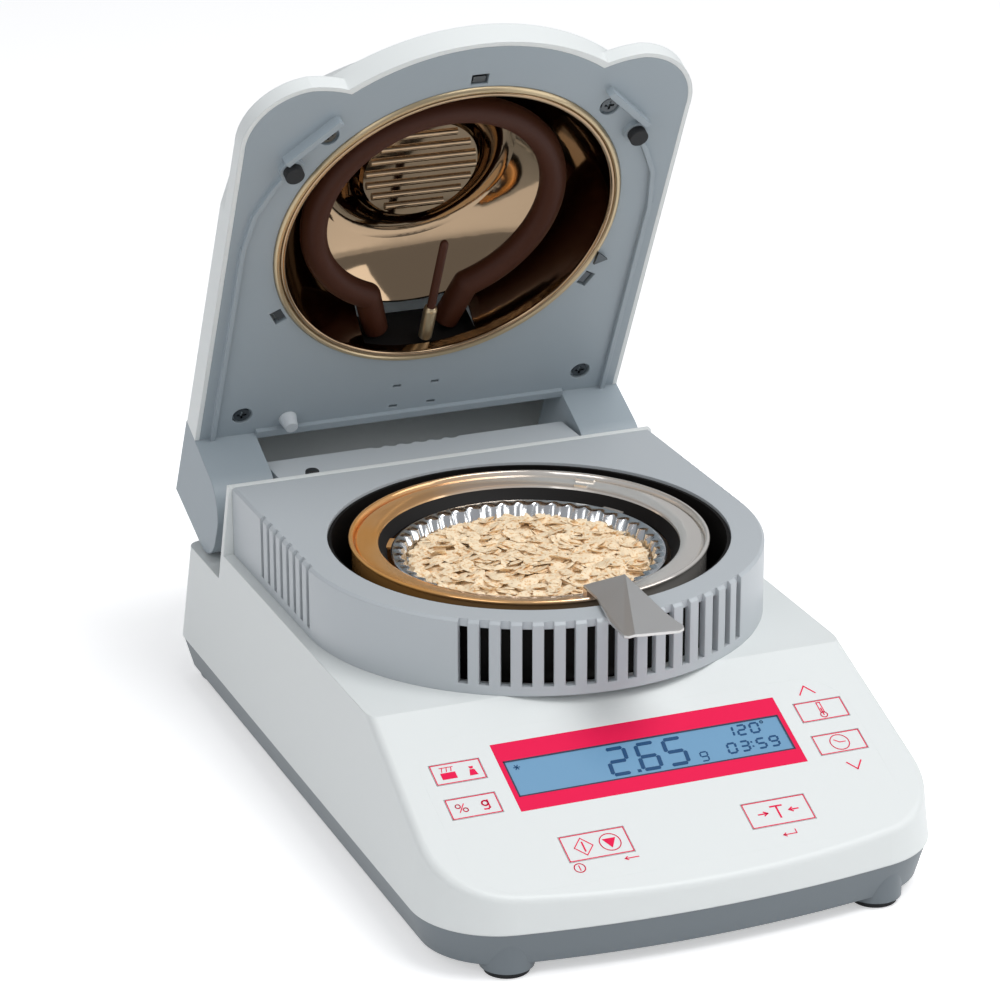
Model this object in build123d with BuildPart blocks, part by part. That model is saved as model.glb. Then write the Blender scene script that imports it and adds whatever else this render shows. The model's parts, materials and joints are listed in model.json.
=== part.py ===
# Bench moisture analyzer with its lid open: a weighing chamber with a heated reflector lid,
# a sloped control panel, a sample pan on a lifting ring and a grey lower tray.
# Millimetres. X runs left to right, Y from the front to the hinge, Z up from the bench.
import os
from math import cos, pi, radians, sin, tan

from build123d import *

os.makedirs("parts", exist_ok=True)

# Where the chamber stands in the row
chamber_y = -6.29
block_top = 82.1

# Chamber block
block_r = 76.4
block_rear = 76.0
block_h = 24.4
block_wall = 2.4
block_top_t = 2.6
opening_r = 65.6
block_edge = 0.9
vent_w = 3.1
vent_h = 20.4
front_vents = 16
front_vent_step = 5.04
side_vents = 8
side_vent_step = 6.5
side_vent_y0 = -0.3
side_vent_w = 2.6

# Housing and tray outline, measured where the two meet
body_half_w = 84.9
body_rear = 118.5
body_front = 146.8
front_bow = 10.0
front_corner_r = 28.0
rear_corner_r = 9.0
seam_z = 15.7
draft_deg = 6.6
housing_wall = 2.6
panel_edge_r = 2.6

# Control panel
panel_slope = 23.0
panel_y = -97.5
panel_drop = 37.2
overlay_margin = 12.9
overlay_half_w = body_half_w - overlay_margin
overlay_low = -44.0
overlay_high = 20.5
overlay_t = 0.4
overlay_r = 16.0
bezel_half_w = 47.7
bezel_half_h = 14.0
lcd_half_w = 45.9
lcd_low = -8.0
lcd_high = 6.4
lcd_glass_t = 1.6
key_gap = 0.2
key_t = 3.4
side_key_w = 16.6
side_key_h = 8.6
side_key_inset = 11.0
side_key_x = overlay_half_w - side_key_inset
upper_key_v = 5.6
lower_key_v = -8.6
front_key_w = 21.5
front_key_h = 10.6
front_key_x = 30.0
front_key_v = -31.4
key_travel = 0.4
board_t = 1.6
board_drop = 10.5
switch_side = 6.0

# Rear of the housing
rise_t = 2.7
deck_drop = 33.4
arm_clearance = 1.4
tower_rear = 106.0
tower_drop = 4.2
tower_wall = 2.4
scallop_r = 2.3
scallop_step = 5.6
scallops = 6

# Lower tray
tray_bottom = 4.4
tray_taper = 16.0
tray_wall = 2.6
boss_r = 11.5
front_boss_r = 8.4
front_boss_inset = 23.9
front_boss_x = body_half_w - front_boss_inset
front_boss_setback = 15.3
front_boss_y = -body_front + front_boss_setback
rear_boss_inset = 14.9
rear_boss_x = body_half_w - rear_boss_inset
rear_boss_y = 100.0
front_boss_low = 2.0
rear_boss_low = 4.0
boss_core_r = 6.0
pad_r = 7.5
front_pad_r = 7.0
foot_disc_r = 9.5
foot_disc_t = 2.1
foot_stud_r = 2.5
foot_stud_top = 15.0
foot_travel = 3.0
pad_t = 2.0
foot_pad_t = 1.6

# Chamber cup, shield, support, lifting ring and pan
cup_r = 65.3
cup_t = 1.0
cup_top = 81.2
cup_floor = 50.6
cup_hole_r = 9.0
shield_r = 57.7
shield_t = 0.8
shield_lip = 1.0
shield_hole_r = 14.0
shield_ledge_z = 79.4
shield_ledge_r = 54.6
ring_in_r = 46.2
ring_out_r = 56.4
ring_t = 0.8
skirt_low = 75.2
tab_reach = 43.6
handle_t = 1.0
handle_z = 82.9
riser_in = 3.0
riser_t = 3.2
grip_lap = 4.2
grip_right = 11.3
grip_left = -8.1
grip_shoulder_y = -83.0
grip_end_y = -98.0
grip_flare = 1.2
pan_r = 45.0
pan_floor_r = 40.5
pan_t = 0.4
pan_rim_z = 76.4
pan_floor_z = 70.2
sample_r = 39.6
sample_h = 3.6
support_hub_r = 7.0
support_arm_w = 7.0
support_arm_t = 1.2
support_reach = 38.0
post_r = 4.0
post_top = 66.0
running_gap = 0.05

# Lid, in its own frame: x across, y towards the hinge, h out from the liner face
open_deg = 63.4
pivot_y = 98.8
pivot_drop = 12.8
lid_gap = 5.0
liner_t = 2.5
lid_half_w = 78.6
lid_rear = 121.5
lid_arc_r = 79.4
notch_x = 43.6
notch_y = -65.2
lobe_top_x = 57.5
lobe_top_y = -68.2
lobe_turn_x = 50.5
lobe_turn_y = -67.4
lobe_mid_x = 72.6
lobe_mid_y = -60.6
lobe_end_y = -43.0
lobe_h = 5.6
band_h = 9.4
dome_h = 43.5
dome_top_half_w = 60.0
dome_top_front = 42.0
dome_top_rear = 116.0
dome_side_y = -14.0
dome_r = 7.0
cover_wall = 2.4
liner_inset = 1.6
cheek_w = 21.6
cheek_in = lid_half_w - cheek_w
cheek_front = 87.4
cheek_rear = 118.0
cheek_low = -31.0
cheek_r = 13.0
cheek_top = 10.0
lip_y = 85.6
lip_depth = 3.0
lip_drop = 1.6
ridge_inset = 6.1
ridge_x = lid_half_w - ridge_inset
ridge_w = 1.6
ridge_h = 1.4
short_rib_h = 3.6
short_rib_w = 2.2
reflector_r = 59.2
reflector_t = 0.6
reflector_h = 29.4
bowl_h = 36.6
bowl_floor_r = 36.0
bowl_side_r = 52.6
bowl_side_h = 18.0
pedestal_r = 25.0
pedestal_step = 2.6
rim_r = 61.2
rim_in_r = 57.4
rim_proud = 1.2
grille_r = 20.5
grille_ribs = 7
grille_step = 5.2
heater_r = 42.5
heater_tube_r = 4.6
heater_h = 14.0
heater_y = 3.0
heater_leg_x = 13.0
heater_leg_end = 57.5
probe_r = 1.5
sleeve_r = 2.4
bumper_x = 60.2
bumper_y = -35.0
bumper_r = 3.2
bumper_post_r = 4.2
bumper_post_h = 1.8
bumper_h = 4.6
upper_screw_x = 49.0
upper_screw_y = -46.6
lower_screw_inset = 15.9
lower_screw_x = lid_half_w - lower_screw_inset
lower_screw_y = 78.2
lid_screw_r = 2.8
lid_screw_well_r = 3.6
clip_r = 64.4
clip_w = 6.0
clip_depth = 4.2
peg_x = -45.8
peg_y = 82.2
peg_r = 3.2
peg_h = 4.9
plunger_r = 2.4
plunger_proud = 4.0
plunger_travel = 2.0
pin_r = 3.0
pin_grip = 10.0
pin_in = cheek_in - pin_grip
pin_reach = 13.0
pin_out = cheek_in + pin_reach
bush_r = 5.0
vent_slots = 7
vent_slot_step = 6.0

# Pieces inside the base
standoff_r = 3.0
standoff_h = 4.0
supply_x = 43.0
supply_y = 53.0
supply_w = 46.0
supply_l = 84.0
supply_post_inset = 5.0
supply_post_x = supply_w / 2 - supply_post_inset
supply_post_y = supply_l / 2 - supply_post_inset - 1.0
core_w = 38.0
core_l = 32.0
core_h = 22.0
coil_w = 28.0
coil_l = 44.0
coil_h = 18.0
core_y = 14.0
base_screw_x = 56.0
base_screw_front = -105.0
base_screw_rear = 72.0
cell_w = 26.0
cell_h = 20.0
cell_low = 16.0
cell_front = -12.0
cell_rear = 104.0
cell_mid = 46.0
cell_hole_r = 6.0
seat_h = 1.2
hub_grip = 6.0
board_w = 134.0
board_l = 54.0
board_v = -9.0
inlet_depth = 18.0
fuse_w = 12.0
fuse_h = 4.4
fuse_l = 14.0
plunger_l = 12.0
neck_left = -3.0
neck_right = 11.0
vent_slots_y = 36.0
grille_rib_r = 1.5
notch_half_w = 20.5
probe_h = 7.0
probe_tip_y = 13.0
sleeve_l = 14.0

open_a = radians(open_deg)
slope_a = radians(panel_slope)
tower_half_w = cheek_in - arm_clearance
lid_back = (0, cos(open_a), -sin(open_a))
lid_out = (0, sin(open_a), cos(open_a))


def level(z):
    return Plane(origin=(0, chamber_y, z), x_dir=(1, 0, 0), z_dir=(0, 0, 1))


def side(x):
    return Plane(origin=(x, chamber_y, 0), x_dir=(0, 1, 0), z_dir=(1, 0, 0))


def panel(h):
    base_z = block_top - panel_drop
    return Plane(
        origin=(0, chamber_y + panel_y - h * sin(slope_a), base_z + h * cos(slope_a)),
        x_dir=(1, 0, 0),
        z_dir=(0, -sin(slope_a), cos(slope_a)),
    )


def lid_point(x, y, h):
    dy = y - pivot_y
    dh = h + lid_gap + pivot_drop
    return (
        x,
        chamber_y + pivot_y + dy * lid_back[1] + dh * lid_out[1],
        block_top - pivot_drop + dy * lid_back[2] + dh * lid_out[2],
    )


def lid(h):
    return Plane(origin=lid_point(0, 0, h), x_dir=(1, 0, 0), z_dir=lid_out)


def lid_side(x):
    return Plane(origin=lid_point(x, 0, 0), x_dir=lid_back, z_dir=(1, 0, 0))


# Outlines shared by several pieces
def plan_outline(inset):
    half = body_half_w - inset
    rear = body_rear - inset
    front = -body_front + inset
    corner = front + front_bow
    with BuildSketch() as outline:
        with BuildLine():
            Line((half, rear), (-half, rear))
            Line((-half, rear), (-half, corner))
            ThreePointArc((-half, corner), (0, front), (half, corner))
            Line((half, corner), (half, rear))
        make_face()
        fillet(outline.vertices().group_by(Axis.Y)[-1], rear_corner_r - inset * 0.5)
        fillet(outline.vertices().group_by(Axis.Y)[0], front_corner_r - inset * 0.5)
    return outline.sketch


def block_outline(inset):
    r = block_r - inset
    with BuildSketch() as outline:
        with BuildLine():
            Line((r, block_rear - inset), (-r, block_rear - inset))
            Line((-r, block_rear - inset), (-r, 0))
            ThreePointArc((-r, 0), (0, -r), (r, 0))
            Line((r, 0), (r, block_rear - inset))
        make_face()
    return outline.sketch


def lobed_outline(inset):
    half = lid_half_w - inset
    rear = lid_rear - inset
    turn = (lobe_turn_x, lobe_turn_y + inset)
    notch = (notch_x, notch_y + inset)
    crown = (lobe_top_x, lobe_top_y + inset)
    outer = (lobe_mid_x - inset * 0.7, lobe_mid_y + inset * 0.7)
    with BuildSketch() as outline:
        with BuildLine():
            Line((half, rear), (-half, rear))
            Line((-half, rear), (-half, lobe_end_y))
            ThreePointArc((-half, lobe_end_y), (-outer[0], outer[1]), (-crown[0], crown[1]))
            ThreePointArc((-crown[0], crown[1]), (-turn[0], turn[1]), (-notch[0], notch[1]))
            ThreePointArc((-notch[0], notch[1]), (0, -lid_arc_r + inset), notch)
            ThreePointArc(notch, turn, crown)
            ThreePointArc(crown, outer, (half, lobe_end_y))
            Line((half, lobe_end_y), (half, rear))
        make_face()
    return outline.sketch


def arched_outline(half, front, rear, side_y):
    with BuildSketch() as outline:
        with BuildLine():
            Line((half, rear), (-half, rear))
            Line((-half, rear), (-half, side_y))
            ThreePointArc((-half, side_y), (0, -front), (half, side_y))
            Line((half, side_y), (half, rear))
        make_face()
    return outline.sketch


def panel_z(y):
    return block_top - panel_drop + (y - panel_y) * tan(slope_a)


shoulder_z = block_top - block_h
deck_z = block_top - deck_drop
break_y = panel_y + (shoulder_z - block_top + panel_drop) / tan(slope_a)
rise_y = block_rear + 0.3
far = 200.0

# Room inside the housing
with BuildPart() as housing_room:
    with BuildSketch(level(seam_z)):
        add(plan_outline(housing_wall))
    extrude(amount=60, taper=draft_deg)
    room_z = shoulder_z - housing_wall
    room_break = break_y - housing_wall * tan(slope_a / 2)
    with BuildSketch(side(0)):
        with BuildLine():
            Polyline(
                (-far, -far), (-far, panel_z(-far) - housing_wall / cos(slope_a)),
                (room_break, room_z), (rise_y - housing_wall, room_z),
                (rise_y - housing_wall, deck_z - housing_wall),
                (far, deck_z - housing_wall), (far, -far), close=True)
        make_face()
    extrude(amount=far, both=True, mode=Mode.INTERSECT)

# White upper housing
inlet_x = 48.0
inlet_z = 32.0
inlet_w = 27.0
inlet_h = 22.0
port_x = -42.0
port_z = 33.0
port_w = 18.0
port_h = 9.0
rear_vents = 7
rear_vent_step = 5.0
with BuildPart() as upper_housing:
    with BuildSketch(level(seam_z)):
        add(plan_outline(0))
    extrude(amount=70, taper=draft_deg)
    with BuildSketch(side(0)):
        with BuildLine():
            Polyline(
                (-far, -far), (-far, panel_z(-far)), (break_y, shoulder_z), (rise_y, shoulder_z),
                (rise_y, block_top - 0.3), (rise_y + rise_t, block_top - 0.3),
                (rise_y + rise_t, deck_z), (far, deck_z), (far, -far), close=True)
        make_face()
    extrude(amount=far, both=True, mode=Mode.INTERSECT)
    slope_face = faces().sort_by_distance(panel(0).origin)[0]
    fillet(slope_face.edges().filter_by(lambda e: e.center().Z < shoulder_z - 1), panel_edge_r)
    add(housing_room.part, mode=Mode.SUBTRACT)
    with BuildSketch(level(shoulder_z - 12)):
        Circle(opening_r + 0.4)
    extrude(amount=14, mode=Mode.SUBTRACT)
    with BuildSketch(panel(0)):
        with Locations((0, (overlay_high + overlay_low) / 2)):
            RectangleRounded(2 * overlay_half_w, overlay_high - overlay_low, overlay_r)
    extrude(amount=-overlay_t, mode=Mode.SUBTRACT)
    with BuildSketch(panel(0)):
        with Locations((0, (lcd_high + lcd_low) / 2)):
            Rectangle(2 * lcd_half_w, lcd_high - lcd_low)
        for x in (-side_key_x, side_key_x):
            with Locations((x, upper_key_v), (x, lower_key_v)):
                Rectangle(side_key_w, side_key_h)
        with Locations((-front_key_x, front_key_v), (front_key_x, front_key_v)):
            Rectangle(front_key_w, front_key_h)
    extrude(amount=-9, mode=Mode.SUBTRACT)
    with BuildSketch(Plane(origin=(0, chamber_y + body_rear - 12, 0), x_dir=(1, 0, 0),
                           z_dir=(0, -1, 0))):
        with Locations((inlet_x, inlet_z)):
            Rectangle(inlet_w + 0.2, inlet_h + 0.2)
        with Locations((port_x, port_z)):
            Rectangle(port_w + 0.2, port_h + 0.2)
        for i in range(rear_vents):
            with Locations(((i - (rear_vents - 1) / 2) * rear_vent_step, port_z)):
                SlotOverall(14, 2.2, rotation=90)
    extrude(amount=-30, mode=Mode.SUBTRACT)
upper_housing.part.label = "upper_housing"
export_step(upper_housing.part, "parts/upper_housing.step")

# Grey lower tray with four corner bosses
with BuildPart() as base_tray:
    with BuildSketch(level(seam_z)):
        add(plan_outline(0.3))
    extrude(amount=-(seam_z - tray_bottom), taper=tray_taper)
    with BuildSketch(level(front_boss_low)):
        with Locations((-front_boss_x, front_boss_y), (front_boss_x, front_boss_y)):
            Circle(front_boss_r)
    extrude(amount=seam_z - front_boss_low - 4)
    with BuildSketch(level(rear_boss_low)):
        with Locations((-rear_boss_x, rear_boss_y), (rear_boss_x, rear_boss_y)):
            Circle(boss_r)
    extrude(amount=seam_z - rear_boss_low - 2)
    with BuildSketch(level(seam_z)):
        add(plan_outline(0.3 + tray_wall))
    extrude(amount=-(seam_z - tray_bottom - tray_wall), taper=tray_taper, mode=Mode.SUBTRACT)
    with BuildSketch(level(tray_bottom + tray_wall)):
        with Locations((-rear_boss_x, rear_boss_y), (rear_boss_x, rear_boss_y)):
            Circle(boss_core_r)
        for x in (supply_x - supply_post_x, supply_x + supply_post_x):
            with Locations((x, supply_y - supply_post_y), (x, supply_y + supply_post_y)):
                Circle(standoff_r)
    extrude(amount=standoff_h)
    with BuildSketch(level(0)):
        with Locations((-rear_boss_x, rear_boss_y), (rear_boss_x, rear_boss_y)):
            Circle(foot_stud_r + running_gap)
    extrude(amount=foot_stud_top + 1, mode=Mode.SUBTRACT)
base_tray.part.label = "base_tray"
export_step(base_tray.part, "parts/base_tray.step")

# Fixed rubber pads under the front bosses
with BuildPart() as front_pads:
    with BuildSketch(level(0)):
        with Locations((-front_boss_x, front_boss_y), (front_boss_x, front_boss_y)):
            Circle(front_pad_r)
    extrude(amount=front_boss_low)
front_pads.part.label = "front_pads"
export_step(front_pads.part, "parts/front_pads.step")

# Levelling feet at the rear: a screw with a thumb disc turning on a rubber pad
for name, x in (("left", -rear_boss_x), ("right", rear_boss_x)):
    with BuildPart() as foot_pad:
        with BuildSketch(level(0)):
            with Locations((x, rear_boss_y)):
                Circle(pad_r)
        extrude(amount=foot_pad_t)
    foot_pad.part.label = "foot_pad_" + name
    export_step(foot_pad.part, "parts/foot_pad_" + name + ".step")
    with BuildPart() as foot_screw:
        with BuildSketch(level(foot_pad_t)):
            with Locations((x, rear_boss_y)):
                Circle(foot_disc_r)
                with PolarLocations(foot_disc_r, 16):
                    Circle(0.9, mode=Mode.SUBTRACT)
        extrude(amount=foot_disc_t)
        with BuildSketch(level(foot_pad_t)):
            with Locations((x, rear_boss_y)):
                Circle(foot_stud_r)
        extrude(amount=foot_stud_top - foot_pad_t)
    foot_screw.part.label = "foot_screw_" + name
    export_step(foot_screw.part, "parts/foot_screw_" + name + ".step")

# Screws that close the tray from below
with BuildPart() as base_screws:
    for x in (-base_screw_x, base_screw_x):
        for y in (base_screw_front, base_screw_rear):
            with BuildSketch(level(tray_bottom - 1.6)):
                with Locations((x, y)):
                    Circle(3.0)
                    RegularPolygon(1.3, 6, mode=Mode.SUBTRACT)
            extrude(amount=1.6)
base_screws.part.label = "base_screws"
export_step(base_screws.part, "parts/base_screws.step")

# Grey chamber block with its vents
with BuildPart() as chamber_housing:
    with BuildSketch(level(shoulder_z)):
        add(block_outline(0))
    extrude(amount=block_h)
    chamfer(faces().sort_by(Axis.Z)[-1].edges(), block_edge)
    with BuildSketch(level(shoulder_z)):
        add(block_outline(block_wall))
    extrude(amount=block_h - block_top_t, mode=Mode.SUBTRACT)
    with BuildSketch(level(shoulder_z)):
        Circle(opening_r)
    extrude(amount=block_h, mode=Mode.SUBTRACT)
    arc_start = -90 - (front_vents - 1) / 2 * front_vent_step
    arc_span = (front_vents - 1) * front_vent_step
    vent_low = block_top - vent_h - 0.8
    with BuildSketch(level(vent_low)):
        with PolarLocations(block_r - 1, front_vents, start_angle=arc_start,
                            angular_range=arc_span, endpoint=True):
            Rectangle(4.4, vent_w)
        for i in range(side_vents):
            y = side_vent_y0 + i * side_vent_step
            with Locations((-block_r, y), (block_r, y)):
                Rectangle(2 * block_wall + 0.6, side_vent_w)
    extrude(amount=block_top - block_top_t - vent_low, mode=Mode.SUBTRACT)
    with BuildSketch(level(block_top - block_top_t - 0.2)):
        with PolarLocations(block_r, front_vents, start_angle=arc_start,
                            angular_range=arc_span, endpoint=True):
            Rectangle(2.8, vent_w)
        for i in range(side_vents):
            y = side_vent_y0 + i * side_vent_step
            with Locations((-block_r, y), (block_r, y)):
                Rectangle(2.8, side_vent_w)
    extrude(amount=block_top_t + 1, mode=Mode.SUBTRACT)
chamber_housing.part.label = "chamber_housing"
export_step(chamber_housing.part, "parts/chamber_housing.step")

# Dark inner cup of the chamber
with BuildPart() as chamber_cup:
    with BuildSketch(level(cup_floor)):
        Circle(cup_r)
    extrude(amount=cup_top - cup_floor)
    with BuildSketch(level(cup_floor + cup_t)):
        Circle(cup_r - cup_t)
    extrude(amount=cup_top - cup_floor, mode=Mode.SUBTRACT)
    with BuildSketch(level(cup_floor)):
        Circle(cup_hole_r)
    extrude(amount=cup_t, mode=Mode.SUBTRACT)
    with BuildSketch(level(cup_floor + cup_t)):
        with PolarLocations(52, 3, start_angle=30):
            Circle(4)
    extrude(amount=seat_h)
chamber_cup.part.label = "chamber_cup"
export_step(chamber_cup.part, "parts/chamber_cup.step")

# Weighing cell with its sensing holes, its foot and the post that carries the pan
with BuildPart() as weighing_cell:
    with BuildSketch(side(-cell_w / 2)):
        with Locations(((cell_front + cell_rear) / 2, cell_low + cell_h / 2)):
            Rectangle(cell_rear - cell_front, cell_h)
        with Locations((cell_mid - 11, cell_low + cell_h / 2), (cell_mid + 11, cell_low + cell_h / 2)):
            Circle(cell_hole_r, mode=Mode.SUBTRACT)
        with Locations((cell_mid, cell_low + cell_h / 2)):
            Rectangle(20, 5, mode=Mode.SUBTRACT)
    extrude(amount=cell_w)
weighing_cell.part.label = "weighing_cell"
export_step(weighing_cell.part, "parts/weighing_cell.step")

with BuildPart() as cell_foot:
    foot_low = tray_bottom + tray_wall
    with BuildSketch(level(foot_low)):
        with Locations((0, cell_rear - 14)):
            Rectangle(cell_w + 10, 28)
    extrude(amount=cell_low - foot_low)
cell_foot.part.label = "cell_foot"
export_step(cell_foot.part, "parts/cell_foot.step")

with BuildPart() as cell_post:
    with BuildSketch(level(cell_low + cell_h)):
        Circle(post_r + 3)
    extrude(amount=3)
    with BuildSketch(level(cell_low + cell_h)):
        Circle(post_r)
    extrude(amount=post_top - cell_low - cell_h)
    chamfer(faces().sort_by(Axis.Z)[-1].edges(), 0.8)
cell_post.part.label = "cell_post"
export_step(cell_post.part, "parts/cell_post.step")

# Power supply board and transformer
with BuildPart() as supply_board:
    with BuildSketch(level(tray_bottom + tray_wall + standoff_h)):
        with Locations((supply_x, supply_y)):
            Rectangle(supply_w, supply_l)
    extrude(amount=board_t)
supply_board.part.label = "supply_board"
export_step(supply_board.part, "parts/supply_board.step")

with BuildPart() as transformer:
    core_z = tray_bottom + tray_wall + standoff_h + board_t
    with BuildSketch(level(core_z)):
        with Locations((supply_x, supply_y + core_y)):
            Rectangle(core_w, core_l)
    extrude(amount=core_h)
    with BuildSketch(level(core_z)):
        with Locations((supply_x, supply_y + core_y)):
            Rectangle(coil_w, coil_l)
    extrude(amount=coil_h)
transformer.part.label = "transformer"
export_step(transformer.part, "parts/transformer.step")

# Panel overlay, red frame, display glass and module
with BuildPart() as panel_overlay:
    with BuildSketch(panel(-overlay_t)):
        with Locations((0, (overlay_high + overlay_low) / 2)):
            RectangleRounded(2 * overlay_half_w - 0.1, overlay_high - overlay_low - 0.1, overlay_r)
        Rectangle(2 * bezel_half_w, 2 * bezel_half_h, mode=Mode.SUBTRACT)
        for x in (-side_key_x, side_key_x):
            with Locations((x, upper_key_v), (x, lower_key_v)):
                Rectangle(side_key_w, side_key_h, mode=Mode.SUBTRACT)
        with Locations((-front_key_x, front_key_v), (front_key_x, front_key_v)):
            Rectangle(front_key_w, front_key_h, mode=Mode.SUBTRACT)
    extrude(amount=overlay_t)
panel_overlay.part.label = "panel_overlay"
export_step(panel_overlay.part, "parts/panel_overlay.step")

with BuildPart() as display_frame:
    with BuildSketch(panel(-overlay_t)):
        Rectangle(2 * bezel_half_w - 0.1, 2 * bezel_half_h - 0.1)
        with Locations((0, (lcd_high + lcd_low) / 2)):
            Rectangle(2 * lcd_half_w, lcd_high - lcd_low, mode=Mode.SUBTRACT)
    extrude(amount=overlay_t)
display_frame.part.label = "display_frame"
export_step(display_frame.part, "parts/display_frame.step")

with BuildPart() as display_glass:
    with BuildSketch(panel(-overlay_t - lcd_glass_t)):
        with Locations((0, (lcd_high + lcd_low) / 2)):
            Rectangle(2 * lcd_half_w - 0.2, lcd_high - lcd_low - 0.2)
    extrude(amount=lcd_glass_t + overlay_t / 2)
display_glass.part.label = "display_glass"
export_step(display_glass.part, "parts/display_glass.step")

with BuildPart() as display_module:
    with BuildSketch(panel(-board_drop)):
        with Locations((0, (lcd_high + lcd_low) / 2)):
            Rectangle(2 * lcd_half_w - 0.4, lcd_high - lcd_low - 0.4)
    extrude(amount=board_drop - overlay_t - lcd_glass_t)
display_module.part.label = "display_module"
export_step(display_module.part, "parts/display_module.step")

with BuildPart() as control_board:
    with BuildSketch(panel(-board_drop - board_t)):
        with Locations((0, board_v)):
            RectangleRounded(board_w, board_l, 2)
    extrude(amount=board_t)
control_board.part.label = "control_board"
export_step(control_board.part, "parts/control_board.step")

keys = (
    ("key_sample", -side_key_x, upper_key_v, side_key_w, side_key_h),
    ("key_percent", -side_key_x, lower_key_v, side_key_w, side_key_h),
    ("key_temperature", side_key_x, upper_key_v, side_key_w, side_key_h),
    ("key_time", side_key_x, lower_key_v, side_key_w, side_key_h),
    ("key_start", -front_key_x, front_key_v, front_key_w, front_key_h),
    ("key_tare", front_key_x, front_key_v, front_key_w, front_key_h),
)
with BuildPart() as key_switches:
    for name, x, v, w, h in keys:
        with BuildSketch(panel(-board_drop)):
            with Locations((x, v)):
                Rectangle(switch_side, switch_side)
        extrude(amount=board_drop - key_t - key_travel - 0.3)
key_switches.part.label = "key_switches"
export_step(key_switches.part, "parts/key_switches.step")

# Six keys under the membrane, each moving straight down into the panel
for name, x, v, w, h in keys:
    with BuildPart() as key_cap:
        with BuildSketch(panel(-key_t)):
            with Locations((x, v)):
                Rectangle(w - 2 * key_gap, h - 2 * key_gap)
        extrude(amount=key_t)
    key_cap.part.label = name
    export_step(key_cap.part, "parts/" + name + ".step")

# Mains inlet, its fuse drawer and the data port at the back
inlet_back = body_rear - 0.6
with BuildPart() as power_inlet:
    with BuildSketch(Plane(origin=(inlet_x, chamber_y + inlet_back, inlet_z), x_dir=(-1, 0, 0),
                           z_dir=(0, 1, 0))):
        Rectangle(inlet_w, inlet_h)
    extrude(amount=-inlet_depth)
    with BuildSketch(Plane(origin=(inlet_x, chamber_y + inlet_back, inlet_z + 3), x_dir=(-1, 0, 0),
                           z_dir=(0, 1, 0))):
        RectangleRounded(23, 14, 3)
    extrude(amount=-12, mode=Mode.SUBTRACT)
    with BuildSketch(Plane(origin=(inlet_x, chamber_y + inlet_back - 12, inlet_z + 3),
                           x_dir=(-1, 0, 0), z_dir=(0, 1, 0))):
        with Locations((-7, -1), (0, 2.5), (7, -1)):
            Rectangle(2, 4)
    extrude(amount=8)
    with BuildSketch(Plane(origin=(inlet_x, chamber_y + inlet_back, inlet_z - 7.5),
                           x_dir=(-1, 0, 0), z_dir=(0, 1, 0))):
        Rectangle(fuse_w + 0.4, fuse_h + 0.4)
    extrude(amount=-fuse_l - 0.4, mode=Mode.SUBTRACT)
power_inlet.part.label = "power_inlet"
export_step(power_inlet.part, "parts/power_inlet.step")

with BuildPart() as fuse_drawer:
    with BuildSketch(Plane(origin=(inlet_x, chamber_y + inlet_back, inlet_z - 7.5),
                           x_dir=(-1, 0, 0), z_dir=(0, 1, 0))):
        Rectangle(fuse_w, fuse_h)
    extrude(amount=-fuse_l)
fuse_drawer.part.label = "fuse_drawer"
export_step(fuse_drawer.part, "parts/fuse_drawer.step")

with BuildPart() as data_port:
    port_plane = Plane(origin=(port_x, chamber_y + inlet_back, port_z), x_dir=(-1, 0, 0),
                       z_dir=(0, 1, 0))
    with BuildSketch(port_plane):
        RectangleRounded(port_w, port_h, 2.6)
    extrude(amount=-10)
    with BuildSketch(port_plane):
        RectangleRounded(port_w - 2, port_h - 2, 2)
        for row, count in ((1.4, 5), (-1.4, 4)):
            for i in range(count):
                with Locations(((i - (count - 1) / 2) * 2.76, row)):
                    Circle(0.6, mode=Mode.SUBTRACT)
    extrude(amount=-3, mode=Mode.SUBTRACT)
data_port.part.label = "data_port"
export_step(data_port.part, "parts/data_port.step")

# Tower between the lid arms, with a scalloped rear edge
tower_z = block_top - tower_drop
tower_front = rise_y + rise_t
pivot_z = block_top - pivot_drop
with BuildPart() as hinge_tower:
    with BuildSketch(level(deck_z)):
        with Locations((0, (tower_front + tower_rear) / 2)):
            Rectangle(2 * tower_half_w, tower_rear - tower_front)
    extrude(amount=tower_z - deck_z)
    fillet(edges().filter_by(Axis.X).group_by(Axis.Z)[-1].sort_by(Axis.Y)[-1], 1.2)
    with BuildSketch(level(deck_z)):
        with Locations((0, (tower_front + tower_rear) / 2)):
            Rectangle(2 * (pin_in - 3), tower_rear - tower_front - 2 * tower_wall)
    extrude(amount=tower_z - deck_z - tower_wall, mode=Mode.SUBTRACT)
    with BuildSketch(level(tower_z - 3)):
        for i in range(scallops):
            with Locations(((i - (scallops - 1) / 2) * scallop_step, tower_rear)):
                Circle(scallop_r)
    extrude(amount=4, mode=Mode.SUBTRACT)
    with BuildSketch(level(deck_z + 2)):
        with Locations((peg_x, peg_y)):
            Circle(plunger_r + 0.1)
    extrude(amount=tower_z - deck_z, mode=Mode.SUBTRACT)
    with BuildSketch(side(-far)):
        with Locations((pivot_y, pivot_z)):
            Circle(pin_r)
    extrude(amount=2 * far, mode=Mode.SUBTRACT)
hinge_tower.part.label = "hinge_tower"
export_step(hinge_tower.part, "parts/hinge_tower.step")

with BuildPart() as lid_switch_plunger:
    with BuildSketch(level(tower_z - plunger_l)):
        with Locations((peg_x, peg_y)):
            Circle(plunger_r)
    extrude(amount=plunger_l + plunger_proud)
    fillet(faces().sort_by(Axis.Z)[-1].edges(), 0.8)
lid_switch_plunger.part.label = "lid_switch_plunger"
export_step(lid_switch_plunger.part, "parts/lid_switch_plunger.step")

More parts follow.
